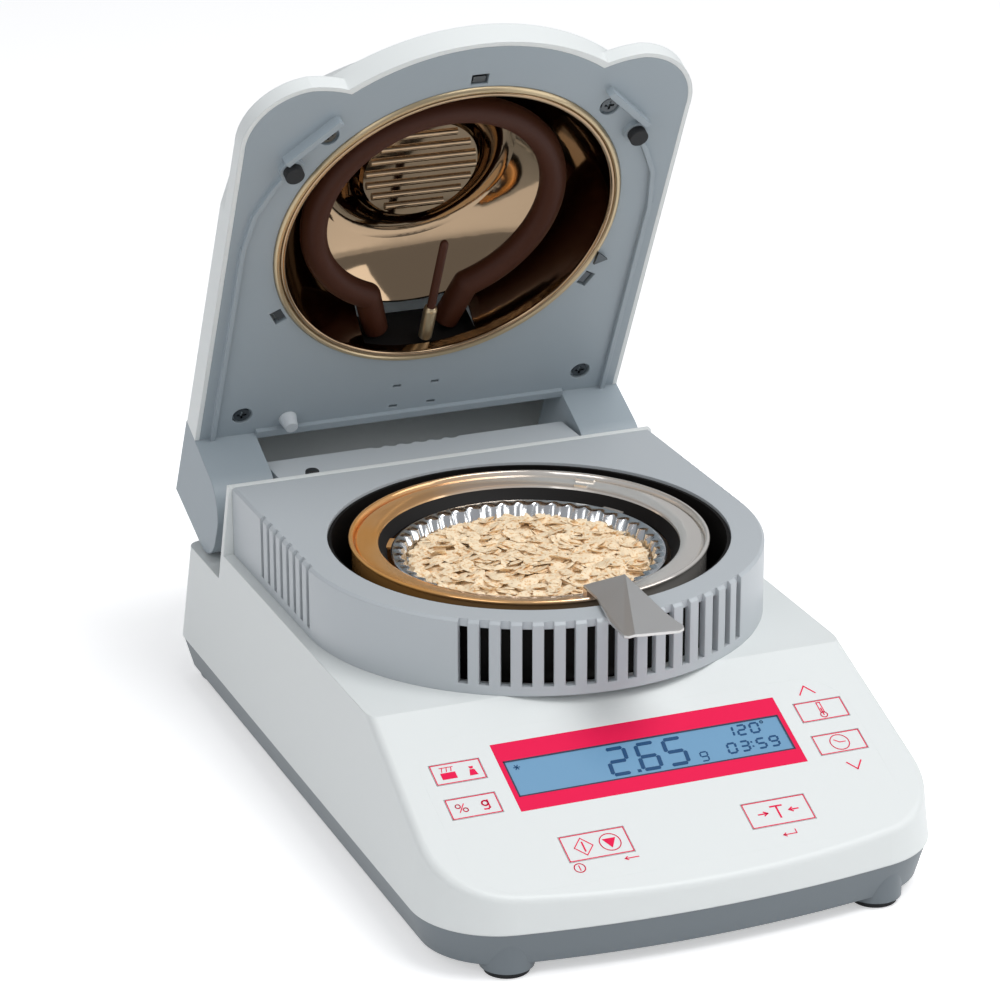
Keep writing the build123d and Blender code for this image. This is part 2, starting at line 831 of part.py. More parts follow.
with BuildPart() as hinge_pins:
    for x in (-pin_out, pin_in):
        with BuildSketch(side(x)):
            with Locations((pivot_y, pivot_z)):
                Circle(pin_r)
        extrude(amount=pin_out - pin_in)
hinge_pins.part.label = "hinge_pins"
export_step(hinge_pins.part, "parts/hinge_pins.step")

# Polished draft shield with a ledge for the lifting ring
shield_low = cup_floor + cup_t + seat_h
with BuildPart() as draft_shield:
    with BuildSketch(Plane(origin=(0, chamber_y, 0), x_dir=(1, 0, 0), z_dir=(0, -1, 0))):
        with BuildLine():
            Polyline(
                (shield_hole_r, shield_low), (shield_r, shield_low),
                (shield_r, block_top - 0.9), (shield_r + shield_lip, block_top - 0.9),
                (shield_r + shield_lip, block_top - 0.1), (shield_r - shield_t, block_top - 0.1),
                (shield_r - shield_t, shield_ledge_z), (shield_ledge_r, shield_ledge_z),
                (shield_ledge_r, shield_ledge_z - shield_t),
                (shield_r - shield_t, shield_ledge_z - 2.4),
                (shield_r - shield_t, shield_low + shield_t),
                (shield_hole_r, shield_low + shield_t), close=True)
        make_face()
    revolve(axis=Axis((0, chamber_y, 0), (0, 0, 1)))
draft_shield.part.label = "draft_shield"
export_step(draft_shield.part, "parts/draft_shield.step")

# Three-armed pan support on the post
with BuildPart() as pan_support:
    arm_z = pan_floor_z - support_arm_t
    with BuildSketch(level(post_top - hub_grip)):
        Circle(support_hub_r)
    extrude(amount=arm_z - post_top + hub_grip)
    with BuildSketch(level(arm_z)):
        Circle(support_hub_r)
        with PolarLocations(support_reach / 2, 3, start_angle=90):
            Rectangle(support_reach, support_arm_w)
        with PolarLocations(support_reach, 3, start_angle=90):
            Circle(support_arm_w / 2)
    extrude(amount=support_arm_t)
    with BuildSketch(level(post_top - hub_grip)):
        Circle(post_r + running_gap)
    extrude(amount=hub_grip, mode=Mode.SUBTRACT)
pan_support.part.label = "pan_support"
export_step(pan_support.part, "parts/pan_support.step")

# Lifting ring with its finger handle over the block
with BuildPart() as pan_handler:
    ring_z = shield_ledge_z
    with BuildSketch(level(ring_z)):
        Circle(ring_out_r)
        Circle(ring_in_r, mode=Mode.SUBTRACT)
    extrude(amount=ring_t)
    with BuildSketch(level(skirt_low)):
        Circle(ring_in_r + ring_t)
        Circle(ring_in_r, mode=Mode.SUBTRACT)
    extrude(amount=ring_z - skirt_low)
    with BuildSketch(level(skirt_low)):
        with PolarLocations((ring_in_r + 0.4 + tab_reach) / 2, 3, start_angle=30):
            Rectangle(ring_in_r + 0.4 - tab_reach, 8)
    extrude(amount=ring_t)
    with BuildSketch(level(ring_z)):
        with Locations(((neck_left + neck_right) / 2, -ring_out_r + riser_in)):
            Rectangle(neck_right - neck_left, riser_t)
    extrude(amount=handle_z - ring_z)
pan_handler.part.label = "pan_handler"
export_step(pan_handler.part, "parts/pan_handler.step")

# Finger handle: a sheet that widens over the block
with BuildPart() as handler_grip:
    with BuildSketch(level(handle_z)):
        with BuildLine():
            Polyline(
                (neck_left, -ring_out_r + grip_lap), (neck_right, -ring_out_r + grip_lap),
                (grip_right, grip_shoulder_y), (grip_right + grip_flare, grip_end_y + 4.5),
                (grip_right - 1.8, grip_end_y + 1), (grip_left + 2.1, grip_end_y),
                (grip_left, grip_end_y + 2), (grip_left + 1.1, grip_shoulder_y + 0.5),
                (neck_left, -ring_out_r - 6.6), close=True)
        make_face()
        fillet(vertices().group_by(Axis.Y)[0], 1.2)
    extrude(amount=handle_t)
handler_grip.part.label = "handler_grip"
export_step(handler_grip.part, "parts/handler_grip.step")

# Aluminium dish and the sample in it
with BuildPart() as sample_pan:
    with BuildSketch(Plane(origin=(0, chamber_y, 0), x_dir=(1, 0, 0), z_dir=(0, -1, 0))):
        with BuildLine():
            Polyline(
                (0, pan_floor_z), (pan_floor_r, pan_floor_z), (pan_r - 2.4, pan_rim_z - pan_t),
                (pan_r, pan_rim_z - pan_t), (pan_r, pan_rim_z), (pan_r - 2.7, pan_rim_z),
                (pan_floor_r - 0.3, pan_floor_z + pan_t), (0, pan_floor_z + pan_t), close=True)
        make_face()
    revolve(axis=Axis((0, chamber_y, 0), (0, 0, 1)))
sample_pan.part.label = "sample_pan"
export_step(sample_pan.part, "parts/sample_pan.step")

with BuildPart() as grain_sample:
    with BuildSketch(level(pan_floor_z + pan_t)):
        Circle(sample_r)
    extrude(amount=sample_h)
    fillet(faces().sort_by(Axis.Z)[-1].edges(), 1.6)
grain_sample.part.label = "grain_sample"
export_step(grain_sample.part, "parts/grain_sample.step")

# Lid: grey liner plate with the two hinge arms, ribs and wells
with BuildPart() as lid_liner:
    with BuildSketch(lid(0)):
        add(lobed_outline(liner_inset))
        with Locations((0, (lid_rear + cheek_front) / 2 + 1)):
            Rectangle(2 * lid_half_w + 2, lid_rear - cheek_front + 2, mode=Mode.SUBTRACT)
        Circle(rim_r, mode=Mode.SUBTRACT)
    extrude(amount=liner_t)
    with BuildSketch(lid(-lip_drop)):
        with Locations((0, lip_y + lip_depth / 2)):
            Rectangle(2 * cheek_in, lip_depth)
    extrude(amount=lip_drop + liner_t)
    for x in (-lid_half_w, cheek_in):
        with BuildSketch(lid_side(x)):
            with BuildLine():
                Polyline((cheek_front, cheek_low), (cheek_rear, cheek_low),
                         (lid_rear, cheek_top), (cheek_front, cheek_top), close=True)
            make_face()
            fillet(vertices().group_by(Axis.Y)[0], cheek_r)
        extrude(amount=lid_half_w - cheek_in)
    with BuildSketch(lid_side(-lid_half_w)):
        with Locations((pivot_y, -lid_gap - pivot_drop)):
            Circle(bush_r)
    extrude(amount=2 * lid_half_w - 0.001, mode=Mode.SUBTRACT)
    for x in (-lid_half_w, pin_out + 1):
        with BuildSketch(lid_side(x)):
            with Locations((pivot_y, -lid_gap - pivot_drop)):
                Circle(bush_r)
        extrude(amount=lid_half_w - pin_out - 1)
    for s in (-1, 1):
        with BuildSketch(lid(-ridge_h)):
            with Locations((s * ridge_x, (cheek_front - 2) / 2)):
                Rectangle(ridge_w, cheek_front + 2)
        extrude(amount=ridge_h)
        with BuildSketch(lid(-ridge_h)):
            with BuildLine():
                Polyline((s * (ridge_x - ridge_w / 2), 0), (s * (ridge_x + ridge_w / 2), 0),
                         (s * (ridge_x - 1.3), -16), (s * (ridge_x - 6.2), -27),
                         (s * (bumper_x + 2.2), bumper_y + 2), (s * (bumper_x + 0.8), bumper_y + 2),
                         (s * (ridge_x - 7.8), -26.3), (s * (ridge_x - 2.9), -15.6), close=True)
            make_face()
        extrude(amount=ridge_h)
        with BuildSketch(lid(-short_rib_h)):
            with BuildLine():
                Polyline((s * 64.0, -39.8), (s * 62.3, -38.4), (s * 45.9, -54.0),
                         (s * 47.6, -55.6), close=True)
            make_face()
        extrude(amount=short_rib_h)
        with BuildSketch(lid(-bumper_post_h)):
            with Locations((s * bumper_x, bumper_y)):
                Circle(bumper_post_r)
        extrude(amount=bumper_post_h)
        with BuildSketch(lid(0)):
            with Locations((s * upper_screw_x, upper_screw_y), (s * lower_screw_x, lower_screw_y)):
                Circle(lid_screw_well_r)
        extrude(amount=liner_t - 0.9, mode=Mode.SUBTRACT)
    with BuildSketch(lid(0)):
        with PolarLocations(clip_r, 3, start_angle=-90):
            Rectangle(clip_depth, clip_w)
        for x in (-7.0, 7.0):
            with Locations((x, 73.5), (x, 83.3)):
                Rectangle(3.0, 1.2)
    extrude(amount=liner_t, mode=Mode.SUBTRACT)
lid_liner.part.label = "lid_liner"
export_step(lid_liner.part, "parts/lid_liner.step")

# Lid: white outer cover with its raised dome and heat slots
with BuildPart() as dome_room:
    with BuildSketch(lid(liner_t)):
        add(arched_outline(lid_half_w - cover_wall, lid_arc_r - cover_wall,
                           lid_rear - cover_wall, dome_side_y))
    with BuildSketch(lid(dome_h - cover_wall)):
        add(arched_outline(dome_top_half_w - cover_wall, dome_top_front - cover_wall,
                           dome_top_rear - cover_wall, dome_side_y))
    loft(ruled=True)

with BuildPart() as lid_cover:
    with BuildSketch(lid(band_h)):
        add(arched_outline(lid_half_w, lid_arc_r, lid_rear, dome_side_y))
    with BuildSketch(lid(dome_h)):
        add(arched_outline(dome_top_half_w, dome_top_front, dome_top_rear, dome_side_y))
    loft(ruled=True)
    fillet(faces().sort_by_distance(lid_point(0, 30, dome_h))[0].edges(), dome_r)
    with BuildSketch(lid(0)):
        add(arched_outline(lid_half_w, lid_arc_r, lid_rear, dome_side_y))
    extrude(amount=band_h)
    with BuildSketch(lid(0)):
        add(lobed_outline(0))
    extrude(amount=lobe_h)
    add(dome_room.part, mode=Mode.SUBTRACT)
    with BuildSketch(lid(0)):
        add(lobed_outline(liner_inset))
    extrude(amount=liner_t, mode=Mode.SUBTRACT)
    with BuildSketch(lid(0)):
        with Locations((0, cheek_front + 100)):
            Rectangle(4 * lid_half_w, 200)
    extrude(amount=cheek_top, mode=Mode.SUBTRACT)
    with BuildSketch(lid(dome_h - 12)):
        for i in range(vent_slots):
            with Locations((0, (i - (vent_slots - 1) / 2) * vent_slot_step + vent_slots_y)):
                SlotOverall(46 - 3 * abs(i - (vent_slots - 1) / 2), 2.6)
    extrude(amount=24, mode=Mode.SUBTRACT)
lid_cover.part.label = "lid_cover"
export_step(lid_cover.part, "parts/lid_cover.step")

# Lid: polished reflector bowl, its rim ring, ribbed centre and heater
lid_axis = Axis(lid_point(0, 0, 0), lid_out)
lid_section = Plane(origin=lid_point(0, 0, 0), x_dir=(1, 0, 0),
                    z_dir=(0, -lid_back[1], -lid_back[2]))
with BuildPart() as reflector:
    with BuildSketch(lid_section):
        with BuildLine():
            t = reflector_t
            ThreePointArc((reflector_r - t, 0.4), (bowl_side_r, bowl_side_h), (bowl_floor_r, bowl_h - 2))
            Spline((bowl_floor_r, bowl_h - 2), (bowl_floor_r - 5, bowl_h), (pedestal_r, bowl_h - 1.6),
                   (grille_r + 1, reflector_h + 1), tangents=((-1, 0.8), (-0.5, -1)))
            Polyline((grille_r + 1, reflector_h + 1), (grille_r, reflector_h),
                     (grille_r, reflector_h + t), (grille_r + 1 - t / 2, reflector_h + 1 + t))
            Spline((grille_r + 1 - t / 2, reflector_h + 1 + t), (pedestal_r, bowl_h - 1.6 + t),
                   (bowl_floor_r - 5, bowl_h + t), (bowl_floor_r + t / 2, bowl_h - 2 + t),
                   tangents=((0.5, 1), (1, -0.8)))
            ThreePointArc((bowl_floor_r + t / 2, bowl_h - 2 + t), (bowl_side_r + t, bowl_side_h + t / 2),
                          (reflector_r, 0.4))
            Line((reflector_r, 0.4), (reflector_r - t, 0.4))
        make_face()
    revolve(axis=lid_axis)
    with BuildSketch(lid(probe_h - sleeve_r - 0.6)):
        with Locations((0, 52)):
            Rectangle(2 * notch_half_w, 20)
    extrude(amount=heater_h + heater_tube_r + 1.6 - probe_h + sleeve_r, mode=Mode.SUBTRACT)
reflector.part.label = "reflector"
export_step(reflector.part, "parts/reflector.step")

with BuildPart() as reflector_rim:
    with BuildSketch(lid_section):
        with BuildLine():
            Polyline((rim_in_r, 0.3), (rim_in_r + 1.2, -rim_proud), (rim_r - 1.0, -rim_proud),
                     (rim_r, -0.2), (rim_r, liner_t), (rim_r - 1.2, liner_t), (rim_r - 1.2, 0.4),
                     (rim_in_r + 0.4, 0.4), close=True)
        make_face()
    revolve(axis=lid_axis)
reflector_rim.part.label = "reflector_rim"
export_step(reflector_rim.part, "parts/reflector_rim.step")

with BuildPart() as reflector_centre:
    with BuildSketch(lid(reflector_h)):
        Circle(grille_r - 0.1)
    extrude(amount=1.2)
    for i in range(grille_ribs):
        rib_y = (i - (grille_ribs - 1) / 2) * grille_step
        half = (grille_r ** 2 - (abs(rib_y) + 1.6) ** 2) ** 0.5 - 0.6
        with BuildSketch(lid_side(-half)):
            with Locations((rib_y, reflector_h + 0.3)):
                Circle(grille_rib_r)
        extrude(amount=2 * half)
    with BuildSketch(lid(reflector_h + 1.2)):
        Rectangle(60, 60)
    extrude(amount=4, mode=Mode.SUBTRACT)
reflector_centre.part.label = "reflector_centre"
export_step(reflector_centre.part, "parts/reflector_centre.step")

leg_angle = 65.0
with BuildPart() as heater_tube:
    arc_plane = lid(heater_h)
    leg_top = (heater_r * cos(radians(leg_angle)), heater_y + heater_r * sin(radians(leg_angle)))
    with BuildLine(arc_plane):
        ThreePointArc(leg_top, (0, heater_y - heater_r), (-leg_top[0], leg_top[1]))
    with BuildSketch(Plane(origin=lid_point(leg_top[0], leg_top[1], heater_h),
                           x_dir=lid_out,
                           z_dir=(sin(radians(leg_angle)),
                                  -cos(radians(leg_angle)) * lid_back[1],
                                  -cos(radians(leg_angle)) * lid_back[2]))):
        Circle(heater_tube_r)
    sweep()
    for s in (-1, 1):
        run = (s * (heater_leg_x - leg_top[0]), heater_leg_end - leg_top[1])
        length = (run[0] ** 2 + run[1] ** 2) ** 0.5
        start = lid_point(s * leg_top[0], leg_top[1], heater_h)
        way = (run[0] / length, run[1] / length * lid_back[1], run[1] / length * lid_back[2])
        with BuildSketch(Plane(origin=start, x_dir=lid_out, z_dir=way)):
            Circle(heater_tube_r)
        extrude(amount=length)
        with Locations(start):
            Sphere(heater_tube_r)
heater_tube.part.label = "heater_tube"
export_step(heater_tube.part, "parts/heater_tube.step")

with BuildPart() as heater_block:
    with BuildSketch(lid(heater_h - 8)):
        with Locations((0, heater_leg_end + 6)):
            Rectangle(46, 8)
    extrude(amount=16)
heater_block.part.label = "heater_block"
export_step(heater_block.part, "parts/heater_block.step")

with BuildPart() as temperature_probe:
    with BuildSketch(Plane(origin=lid_point(3.2, heater_leg_end, probe_h), x_dir=(1, 0, 0),
                           z_dir=(0, -lid_back[1], -lid_back[2]))):
        Circle(probe_r)
    extrude(amount=heater_leg_end - probe_tip_y)
    with BuildSketch(Plane(origin=lid_point(3.2, heater_leg_end, probe_h), x_dir=(1, 0, 0),
                           z_dir=(0, -lid_back[1], -lid_back[2]))):
        Circle(sleeve_r)
    extrude(amount=sleeve_l)
temperature_probe.part.label = "temperature_probe"
export_step(temperature_probe.part, "parts/temperature_probe.step")

# Lid: bumpers, screws, clips, switch peg and hinge bushes
with BuildPart() as lid_bumpers:
    with BuildSketch(lid(-bumper_h)):
        with Locations((-bumper_x, bumper_y), (bumper_x, bumper_y)):
            Circle(bumper_r)
    extrude(amount=bumper_h - bumper_post_h)
lid_bumpers.part.label = "lid_bumpers"
export_step(lid_bumpers.part, "parts/lid_bumpers.step")

with BuildPart() as lid_screws:
    for s in (-1, 1):
        with BuildSketch(lid(0.5)):
            with Locations((s * upper_screw_x, upper_screw_y), (s * lower_screw_x, lower_screw_y)):
                Circle(lid_screw_r)
                Rectangle(3.4, 0.9, mode=Mode.SUBTRACT)
                Rectangle(0.9, 3.4, mode=Mode.SUBTRACT)
        extrude(amount=liner_t - 1.4)
lid_screws.part.label = "lid_screws"
export_step(lid_screws.part, "parts/lid_screws.step")

with BuildPart() as reflector_clips:
    with BuildSketch(lid(0.6)):
        with PolarLocations(clip_r - 0.6, 3, start_angle=-90):
            Rectangle(clip_depth - 1.4, clip_w - 1.6)
    extrude(amount=4.4)
reflector_clips.part.label = "reflector_clips"
export_step(reflector_clips.part, "parts/reflector_clips.step")

with BuildPart() as lid_peg:
    with BuildSketch(lid(0)):
        with Locations((peg_x, peg_y)):
            Circle(peg_r)
    extrude(amount=-peg_h, taper=12)
lid_peg.part.label = "lid_peg"
export_step(lid_peg.part, "parts/lid_peg.step")

with BuildPart() as hinge_bushes:
    for x in (-pin_out - 1, cheek_in):
        with BuildSketch(side(x)):
            with Locations((pivot_y, pivot_z)):
                Circle(bush_r)
                Circle(pin_r + running_gap, mode=Mode.SUBTRACT)
        extrude(amount=pin_out + 1 - cheek_in)
hinge_bushes.part.label = "hinge_bushes"
export_step(hinge_bushes.part, "parts/hinge_bushes.step")
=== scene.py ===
"""Bench moisture analyzer with its heated lid open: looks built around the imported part."""

import json
import random
from math import atan2, cos, hypot, pi, radians, sin, sqrt

import bmesh
import bpy
from bpy.props import (
    FloatProperty, FloatVectorProperty, IntProperty, PointerProperty,
)
from mathutils import Matrix, Vector


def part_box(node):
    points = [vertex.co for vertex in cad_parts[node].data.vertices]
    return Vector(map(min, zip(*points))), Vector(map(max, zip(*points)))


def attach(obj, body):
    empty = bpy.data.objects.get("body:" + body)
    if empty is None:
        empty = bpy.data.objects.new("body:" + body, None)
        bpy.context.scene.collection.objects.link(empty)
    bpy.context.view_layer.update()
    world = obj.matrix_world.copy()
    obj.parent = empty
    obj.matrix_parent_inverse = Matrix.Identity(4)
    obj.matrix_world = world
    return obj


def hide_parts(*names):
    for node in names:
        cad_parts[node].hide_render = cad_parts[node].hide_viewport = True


bl_info = {
    "name": "Bench moisture analyzer",
    "version": (1, 0, 0),
    "blender": (4, 5, 0),
    "location": "3D View > Sidebar > Analyzer",
    "description": "Builds the looks of a bench moisture analyzer around its packed solids",
    "category": "Object",
}

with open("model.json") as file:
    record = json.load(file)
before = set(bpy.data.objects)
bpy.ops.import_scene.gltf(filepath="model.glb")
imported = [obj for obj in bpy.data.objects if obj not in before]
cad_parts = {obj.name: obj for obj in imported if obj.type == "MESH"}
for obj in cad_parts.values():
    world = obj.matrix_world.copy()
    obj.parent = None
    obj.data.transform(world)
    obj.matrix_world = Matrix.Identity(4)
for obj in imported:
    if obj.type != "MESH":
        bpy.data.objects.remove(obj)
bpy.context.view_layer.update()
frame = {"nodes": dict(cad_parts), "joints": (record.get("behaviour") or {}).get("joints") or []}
MM = 0.001

# Driving places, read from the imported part
block_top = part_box("chamber_housing")[1].z
cup_low, cup_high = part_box("chamber_cup")
chamber_y = (cup_low.y + cup_high.y) / 2
hinge = next(j for j in frame["joints"] if j["name"] == "lid_hinge")
hinge_place = Vector(hinge["pos_m"])
lid_turn = radians(-hinge["range_deg"][0])

# Between the block's top and the liner's face when the lid is shut
lid_shut_gap = 5.0 * MM
panel_slope = radians(23.0)
panel_centre = Vector((0, chamber_y - 97.5 * MM, block_top - 37.2 * MM))

# The shield and the lifting ring are of one sheet and share a seat under the block's top
SHEET = 0.8 * MM
ring_seat = block_top - 2.7 * MM

# Steps of a full turn on the large round pieces
ROUND_STEPS = 128

# Edges that turn by more than this stay hard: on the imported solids, and on the pieces made here
SOLID_SHARP = radians(32)
PIECE_SHARP = radians(38)
MERGE_DISTANCE = 1e-7


def frame_matrix(origin, x_way, z_way):
    """A frame whose local X and Z point along the two given ways."""
    z_way = Vector(z_way).normalized()
    x_way = Vector(x_way).normalized()
    y_way = z_way.cross(x_way)
    matrix = Matrix((x_way, y_way, z_way)).transposed().to_4x4()
    matrix.translation = Vector(origin)
    return matrix


# The chamber's frame stands on the floor, the panel's lies on its film, and the lid's lies on
# the liner's face, with Y toward the hinge and Z into the lid
chamber_frame = frame_matrix((0, chamber_y, 0), (1, 0, 0), (0, 0, 1))
panel_frame = frame_matrix(
    panel_centre, (1, 0, 0), (0, -sin(panel_slope), cos(panel_slope)))
lid_out = Vector((0, sin(lid_turn), cos(lid_turn)))
lid_back = Vector((0, cos(lid_turn), -sin(lid_turn)))
lid_origin = (
    hinge_place
    + lid_back * (chamber_y - hinge_place.y)
    + lid_out * (block_top + lid_shut_gap - hinge_place.z)
)
lid_frame = frame_matrix(lid_origin, (1, 0, 0), lid_out)


# Sizes and colours
def length(name, description, default):
    """A size given in mm, as a property in metres."""
    return FloatProperty(
        name=name, description=description, default=default * MM, unit="LENGTH")


def colour(name, description, code):
    """A hex colour, as a property."""
    return FloatVectorProperty(
        name=name, description=description, default=linear(code),
        subtype="COLOR", size=3, min=0.0, max=1.0)


def linear(code):
    """An sRGB hex colour as linear values."""
    parts = [int(code[i:i + 2], 16) / 255 for i in (1, 3, 5)]
    return tuple(
        p / 12.92 if p <= 0.04045 else ((p + 0.055) / 1.055) ** 2.4 for p in parts)


class AnalyzerSizes(bpy.types.PropertyGroup):
    pan_radius: length("Pan radius", "Outer radius of the sample pan's rim", 45.0)
    pan_floor_radius: length("Pan floor radius", "Radius of the pan's flat floor", 40.5)
    flute_count: IntProperty(
        name="Flutes", description="Flutes pressed into the pan's wall", default=46)
    flake_count: IntProperty(
        name="Flakes", description="Grain flakes lying in the pan", default=820)
    print_line: length("Print line", "Width of the printed key outlines", 0.32)
    bead_radius: length("Reflector bead", "Radius of the rolled edge of the reflector", 0.9)


class AnalyzerColours(bpy.types.PropertyGroup):
    shell: colour("Shell", "Pale moulded ABS of housing and lid", "#e4e8e7")
    block: colour("Chamber block", "Grey moulded ABS around the chamber", "#bac0c4")
    liner: colour("Lid liner", "Grey moulded ABS inside the lid", "#9aa5ac")
    tray: colour("Lower tray", "Darker grey moulded ABS under the housing", "#6c757b")
    print_red: colour("Print", "Crimson screen print on the panel", "#ee1650")
    display: colour("Display", "Backlit blue of the display", "#6e9bbd")
    digits: colour("Digits", "Dark blue display segments", "#1c4c78")
    grain: colour("Grain", "Pale body of the rolled grain flakes", "#ffebca")


# Materials
finishes = {}


def add_node(tree, kind, settings=None, links=None):
    """Adds one shader node, sets its sockets or properties and links its inputs."""
    node = tree.nodes.new(kind)
    for key, value in (settings or {}).items():
        if isinstance(key, int) or key in node.inputs:
            node.inputs[key].default_value = value
        else:
            setattr(node, key, value)
    for key, source in (links or {}).items():
        tree.links.new(source, node.inputs[key])
    return node


def new_material(name, colour_value, **settings):
    """A material with a principled shader whose own sockets are set, kept by its name."""
    mat = bpy.data.materials.new(name)
    mat.use_nodes = True
    shader = mat.node_tree.nodes["Principled BSDF"]
    shader.inputs["Base Color"].default_value = (*colour_value, 1)
    for key, value in settings.items():
        shader.inputs[key.replace("_", " ")].default_value = value
    finishes[name] = mat
    return mat


def surface(mat, grain_mm, depth_mm, edge_mm=0.0, detail=2.0, stretch=(1, 1, 1)):
    """Fine relief of a given grain size, over edges that catch light as if rounded."""
    tree = mat.node_tree
    shader = tree.nodes["Principled BSDF"]
    place = add_node(tree, "ShaderNodeTexCoord")
    scaled = add_node(tree, "ShaderNodeMapping", {"Scale": stretch},
                      {"Vector": place.outputs["Object"]})
    noise = add_node(tree, "ShaderNodeTexNoise",
                     {"Scale": 1 / (grain_mm * MM), "Detail": detail},
                     {"Vector": scaled.outputs["Vector"]})
    bump = add_node(tree, "ShaderNodeBump", {"Strength": 1.0, "Distance": depth_mm * MM},
                    {"Height": noise.outputs["Fac"]})
    if edge_mm:
        soft = add_node(tree, "ShaderNodeBevel", {"Radius": edge_mm * MM, "samples": 6})
        tree.links.new(soft.outputs["Normal"], bump.inputs["Normal"])
    tree.links.new(bump.outputs["Normal"], shader.inputs["Normal"])
    return noise


def make_moulded(colours):
    """The plastics and the rubber."""
    # Injection-moulded ABS, spark-textured tool: soft wide highlight, hardly any grain
    for name, value, rough in (
            ("moulded ABS pale", colours.shell, 0.42),
            ("moulded ABS chamber grey", colours.block, 0.40),
            ("moulded ABS liner grey", colours.liner, 0.46),
            ("moulded ABS tray grey", colours.tray, 0.45),
            ("moulded ABS light grey", linear("#c3c9cd"), 0.42)):
        abs_skin = new_material(name, value, Roughness=rough, IOR=1.53)
        surface(abs_skin, 0.5, 0.012, edge_mm=0.5)

    # Moulded black nylon: dark, low gloss
    nylon = new_material("moulded nylon black", linear("#1b1d1f"), Roughness=0.5, IOR=1.53)
    surface(nylon, 0.4, 0.01, edge_mm=0.25)

    # Moulded nitrile rubber: dull black with a faint bloom
    rubber = new_material("moulded rubber", linear("#15171a"), Roughness=0.78, IOR=1.52)
    surface(rubber, 0.3, 0.01, edge_mm=0.6)


def make_printed(colours):
    """The panel's film and print, and the display."""
    # Screen-printed polyester film: matt, level, as pale as the shell
    film = new_material("polyester film pale", colours.shell, Roughness=0.42, IOR=1.53)
    surface(film, 0.5, 0.006)

    # Crimson screen ink: matt and flat, with hardly any shine over the film
    new_material("screen print crimson", colours.print_red, Roughness=0.55, IOR=1.45,
                 Specular_IOR_Level=0.2)

    # Backlit twisted-nematic display behind glass: even blue glow, glossy face
    new_material("liquid crystal display blue", colours.display, Roughness=0.3, IOR=1.5,
                 Emission_Color=(*colours.display, 1), Emission_Strength=0.06)

    # Dark printed line round the display's glass: half gloss
    new_material("display outline", linear("#2c2f4a"), Roughness=0.4, IOR=1.5)

    # Segments of the display: flat dark blue, as glossy as the glass over them
    new_material("display segments", colours.digits, Roughness=0.25, IOR=1.5)


def make_reflection_painted_steel():
    """Stainless sheet with a painted reflection, coloured by its place across the analyzer."""
    # Rolled stainless steel with a painted reflection: straw gold on the left, bare grey on the
    # right
    painted_steel = new_material("stainless with painted reflection", linear("#cdc6bd"), Metallic=0.62,
                          Roughness=0.13)
    surface(painted_steel, 3.0, 0.02, stretch=(1, 1, 0.2))
    tree = painted_steel.node_tree
    place = add_node(tree, "ShaderNodeTexCoord")
    patch_mm, patch_shift = 25.0, 30.0 * MM
    gold_x, grey_x = -36.0 * MM, 34.0 * MM
    patchy = add_node(tree, "ShaderNodeTexNoise", {"Scale": 1 / (patch_mm * MM), "Detail": 1.0},
                      {"Vector": place.outputs["Object"]})
    across = add_node(tree, "ShaderNodeSeparateXYZ", links={"Vector": place.outputs["Object"]})
    moved_x = add_node(tree, "ShaderNodeMath", {"operation": "MULTIPLY_ADD", 1: patch_shift},
                       {0: patchy.outputs["Fac"], 2: across.outputs["X"]})
    share = add_node(tree, "ShaderNodeMapRange", {"From Min": gold_x, "From Max": grey_x},
                     {"Value": moved_x.outputs["Value"]})
    # Painted reflection: warm gold on the left side of the analyzer, fading to the steel's bare
    # grey on the right
    painted_reflection = add_node(tree, "ShaderNodeValToRGB", links={"Fac": share.outputs["Result"]})
    painted_reflection.color_ramp.elements[0].color = (*linear("#ffbb6a"), 1)
    painted_reflection.color_ramp.elements[1].color = (*linear("#ece7e0"), 1)
    middle = painted_reflection.color_ramp.elements.new(0.5)
    middle.color = (*linear("#eec392"), 1)
    tree.links.new(painted_reflection.outputs["Color"], tree.nodes["Principled BSDF"].inputs["Base Color"])


def make_heated():
    """What lies round the heater, apart from the stainless with the painted reflection."""
    # Heat-resistant black stove enamel on steel: almost black and slightly warm
    enamel = new_material("stove enamel black", linear("#0d0a09"), Roughness=0.6, IOR=1.5,
                          Specular_IOR_Level=0.25)
    surface(enamel, 1.4, 0.02)

    # Spun aluminium reflector with a bronze anodised coat: mirror bowl, brown depths
    bowl = new_material("anodised reflector bronze", linear("#9c866d"), Metallic=1.0,
                        Roughness=0.07)
    surface(bowl, 11.0, 0.05)

    # Satin rim of the same bowl, out of the polished part: paler and soft
    new_material("anodised rim champagne", linear("#b3a284"), Metallic=0.85, Roughness=0.33)

    # Oxidised heater sheath, alloy tube: dull chocolate brown
    sheath = new_material("oxidised alloy sheath", linear("#411f10"), Roughness=0.55, IOR=1.45,
                          Specular_IOR_Level=0.3)
    surface(sheath, 1.2, 0.05)

    # Steel of the lid's screws and clips, darkened with the painted shade of their wells: dark
    # with a metal glint
    new_material("steel darkened with painted shade", linear("#54585b"), Metallic=1.0, Roughness=0.35)


def make_bare():
    """The plain metals, and the circuit boards."""
    # Stainless sheet, rolled and brushed: warm grey with soft stretched highlights
    brushed = new_material("brushed stainless", linear("#d3d2d0"), Metallic=0.7, Roughness=0.34)
    surface(brushed, 0.35, 0.008, edge_mm=0.2, stretch=(8, 1, 1))

    # Pressed aluminium foil: bright, crinkled by its flutes
    foil = new_material("pressed aluminium foil", linear("#e8eaec"), Metallic=1.0, Roughness=0.17)
    surface(foil, 1.2, 0.04)

    # Zinc-plated steel of the screws, the pins and the data port: cool and bright
    new_material("zinc-plated steel", linear("#b3b7b9"), Metallic=1.0, Roughness=0.28)

    # Milled aluminium of the weighing cell: pale, with the cutter's fine marks
    milled = new_material("milled aluminium", linear("#b6babd"), Metallic=1.0, Roughness=0.35)
    surface(milled, 0.6, 0.01, stretch=(1, 6, 1))

    # Glass-fibre board under solder resist: even green, half gloss
    new_material("circuit board green", linear("#1d5a38"), Roughness=0.35, IOR=1.5)


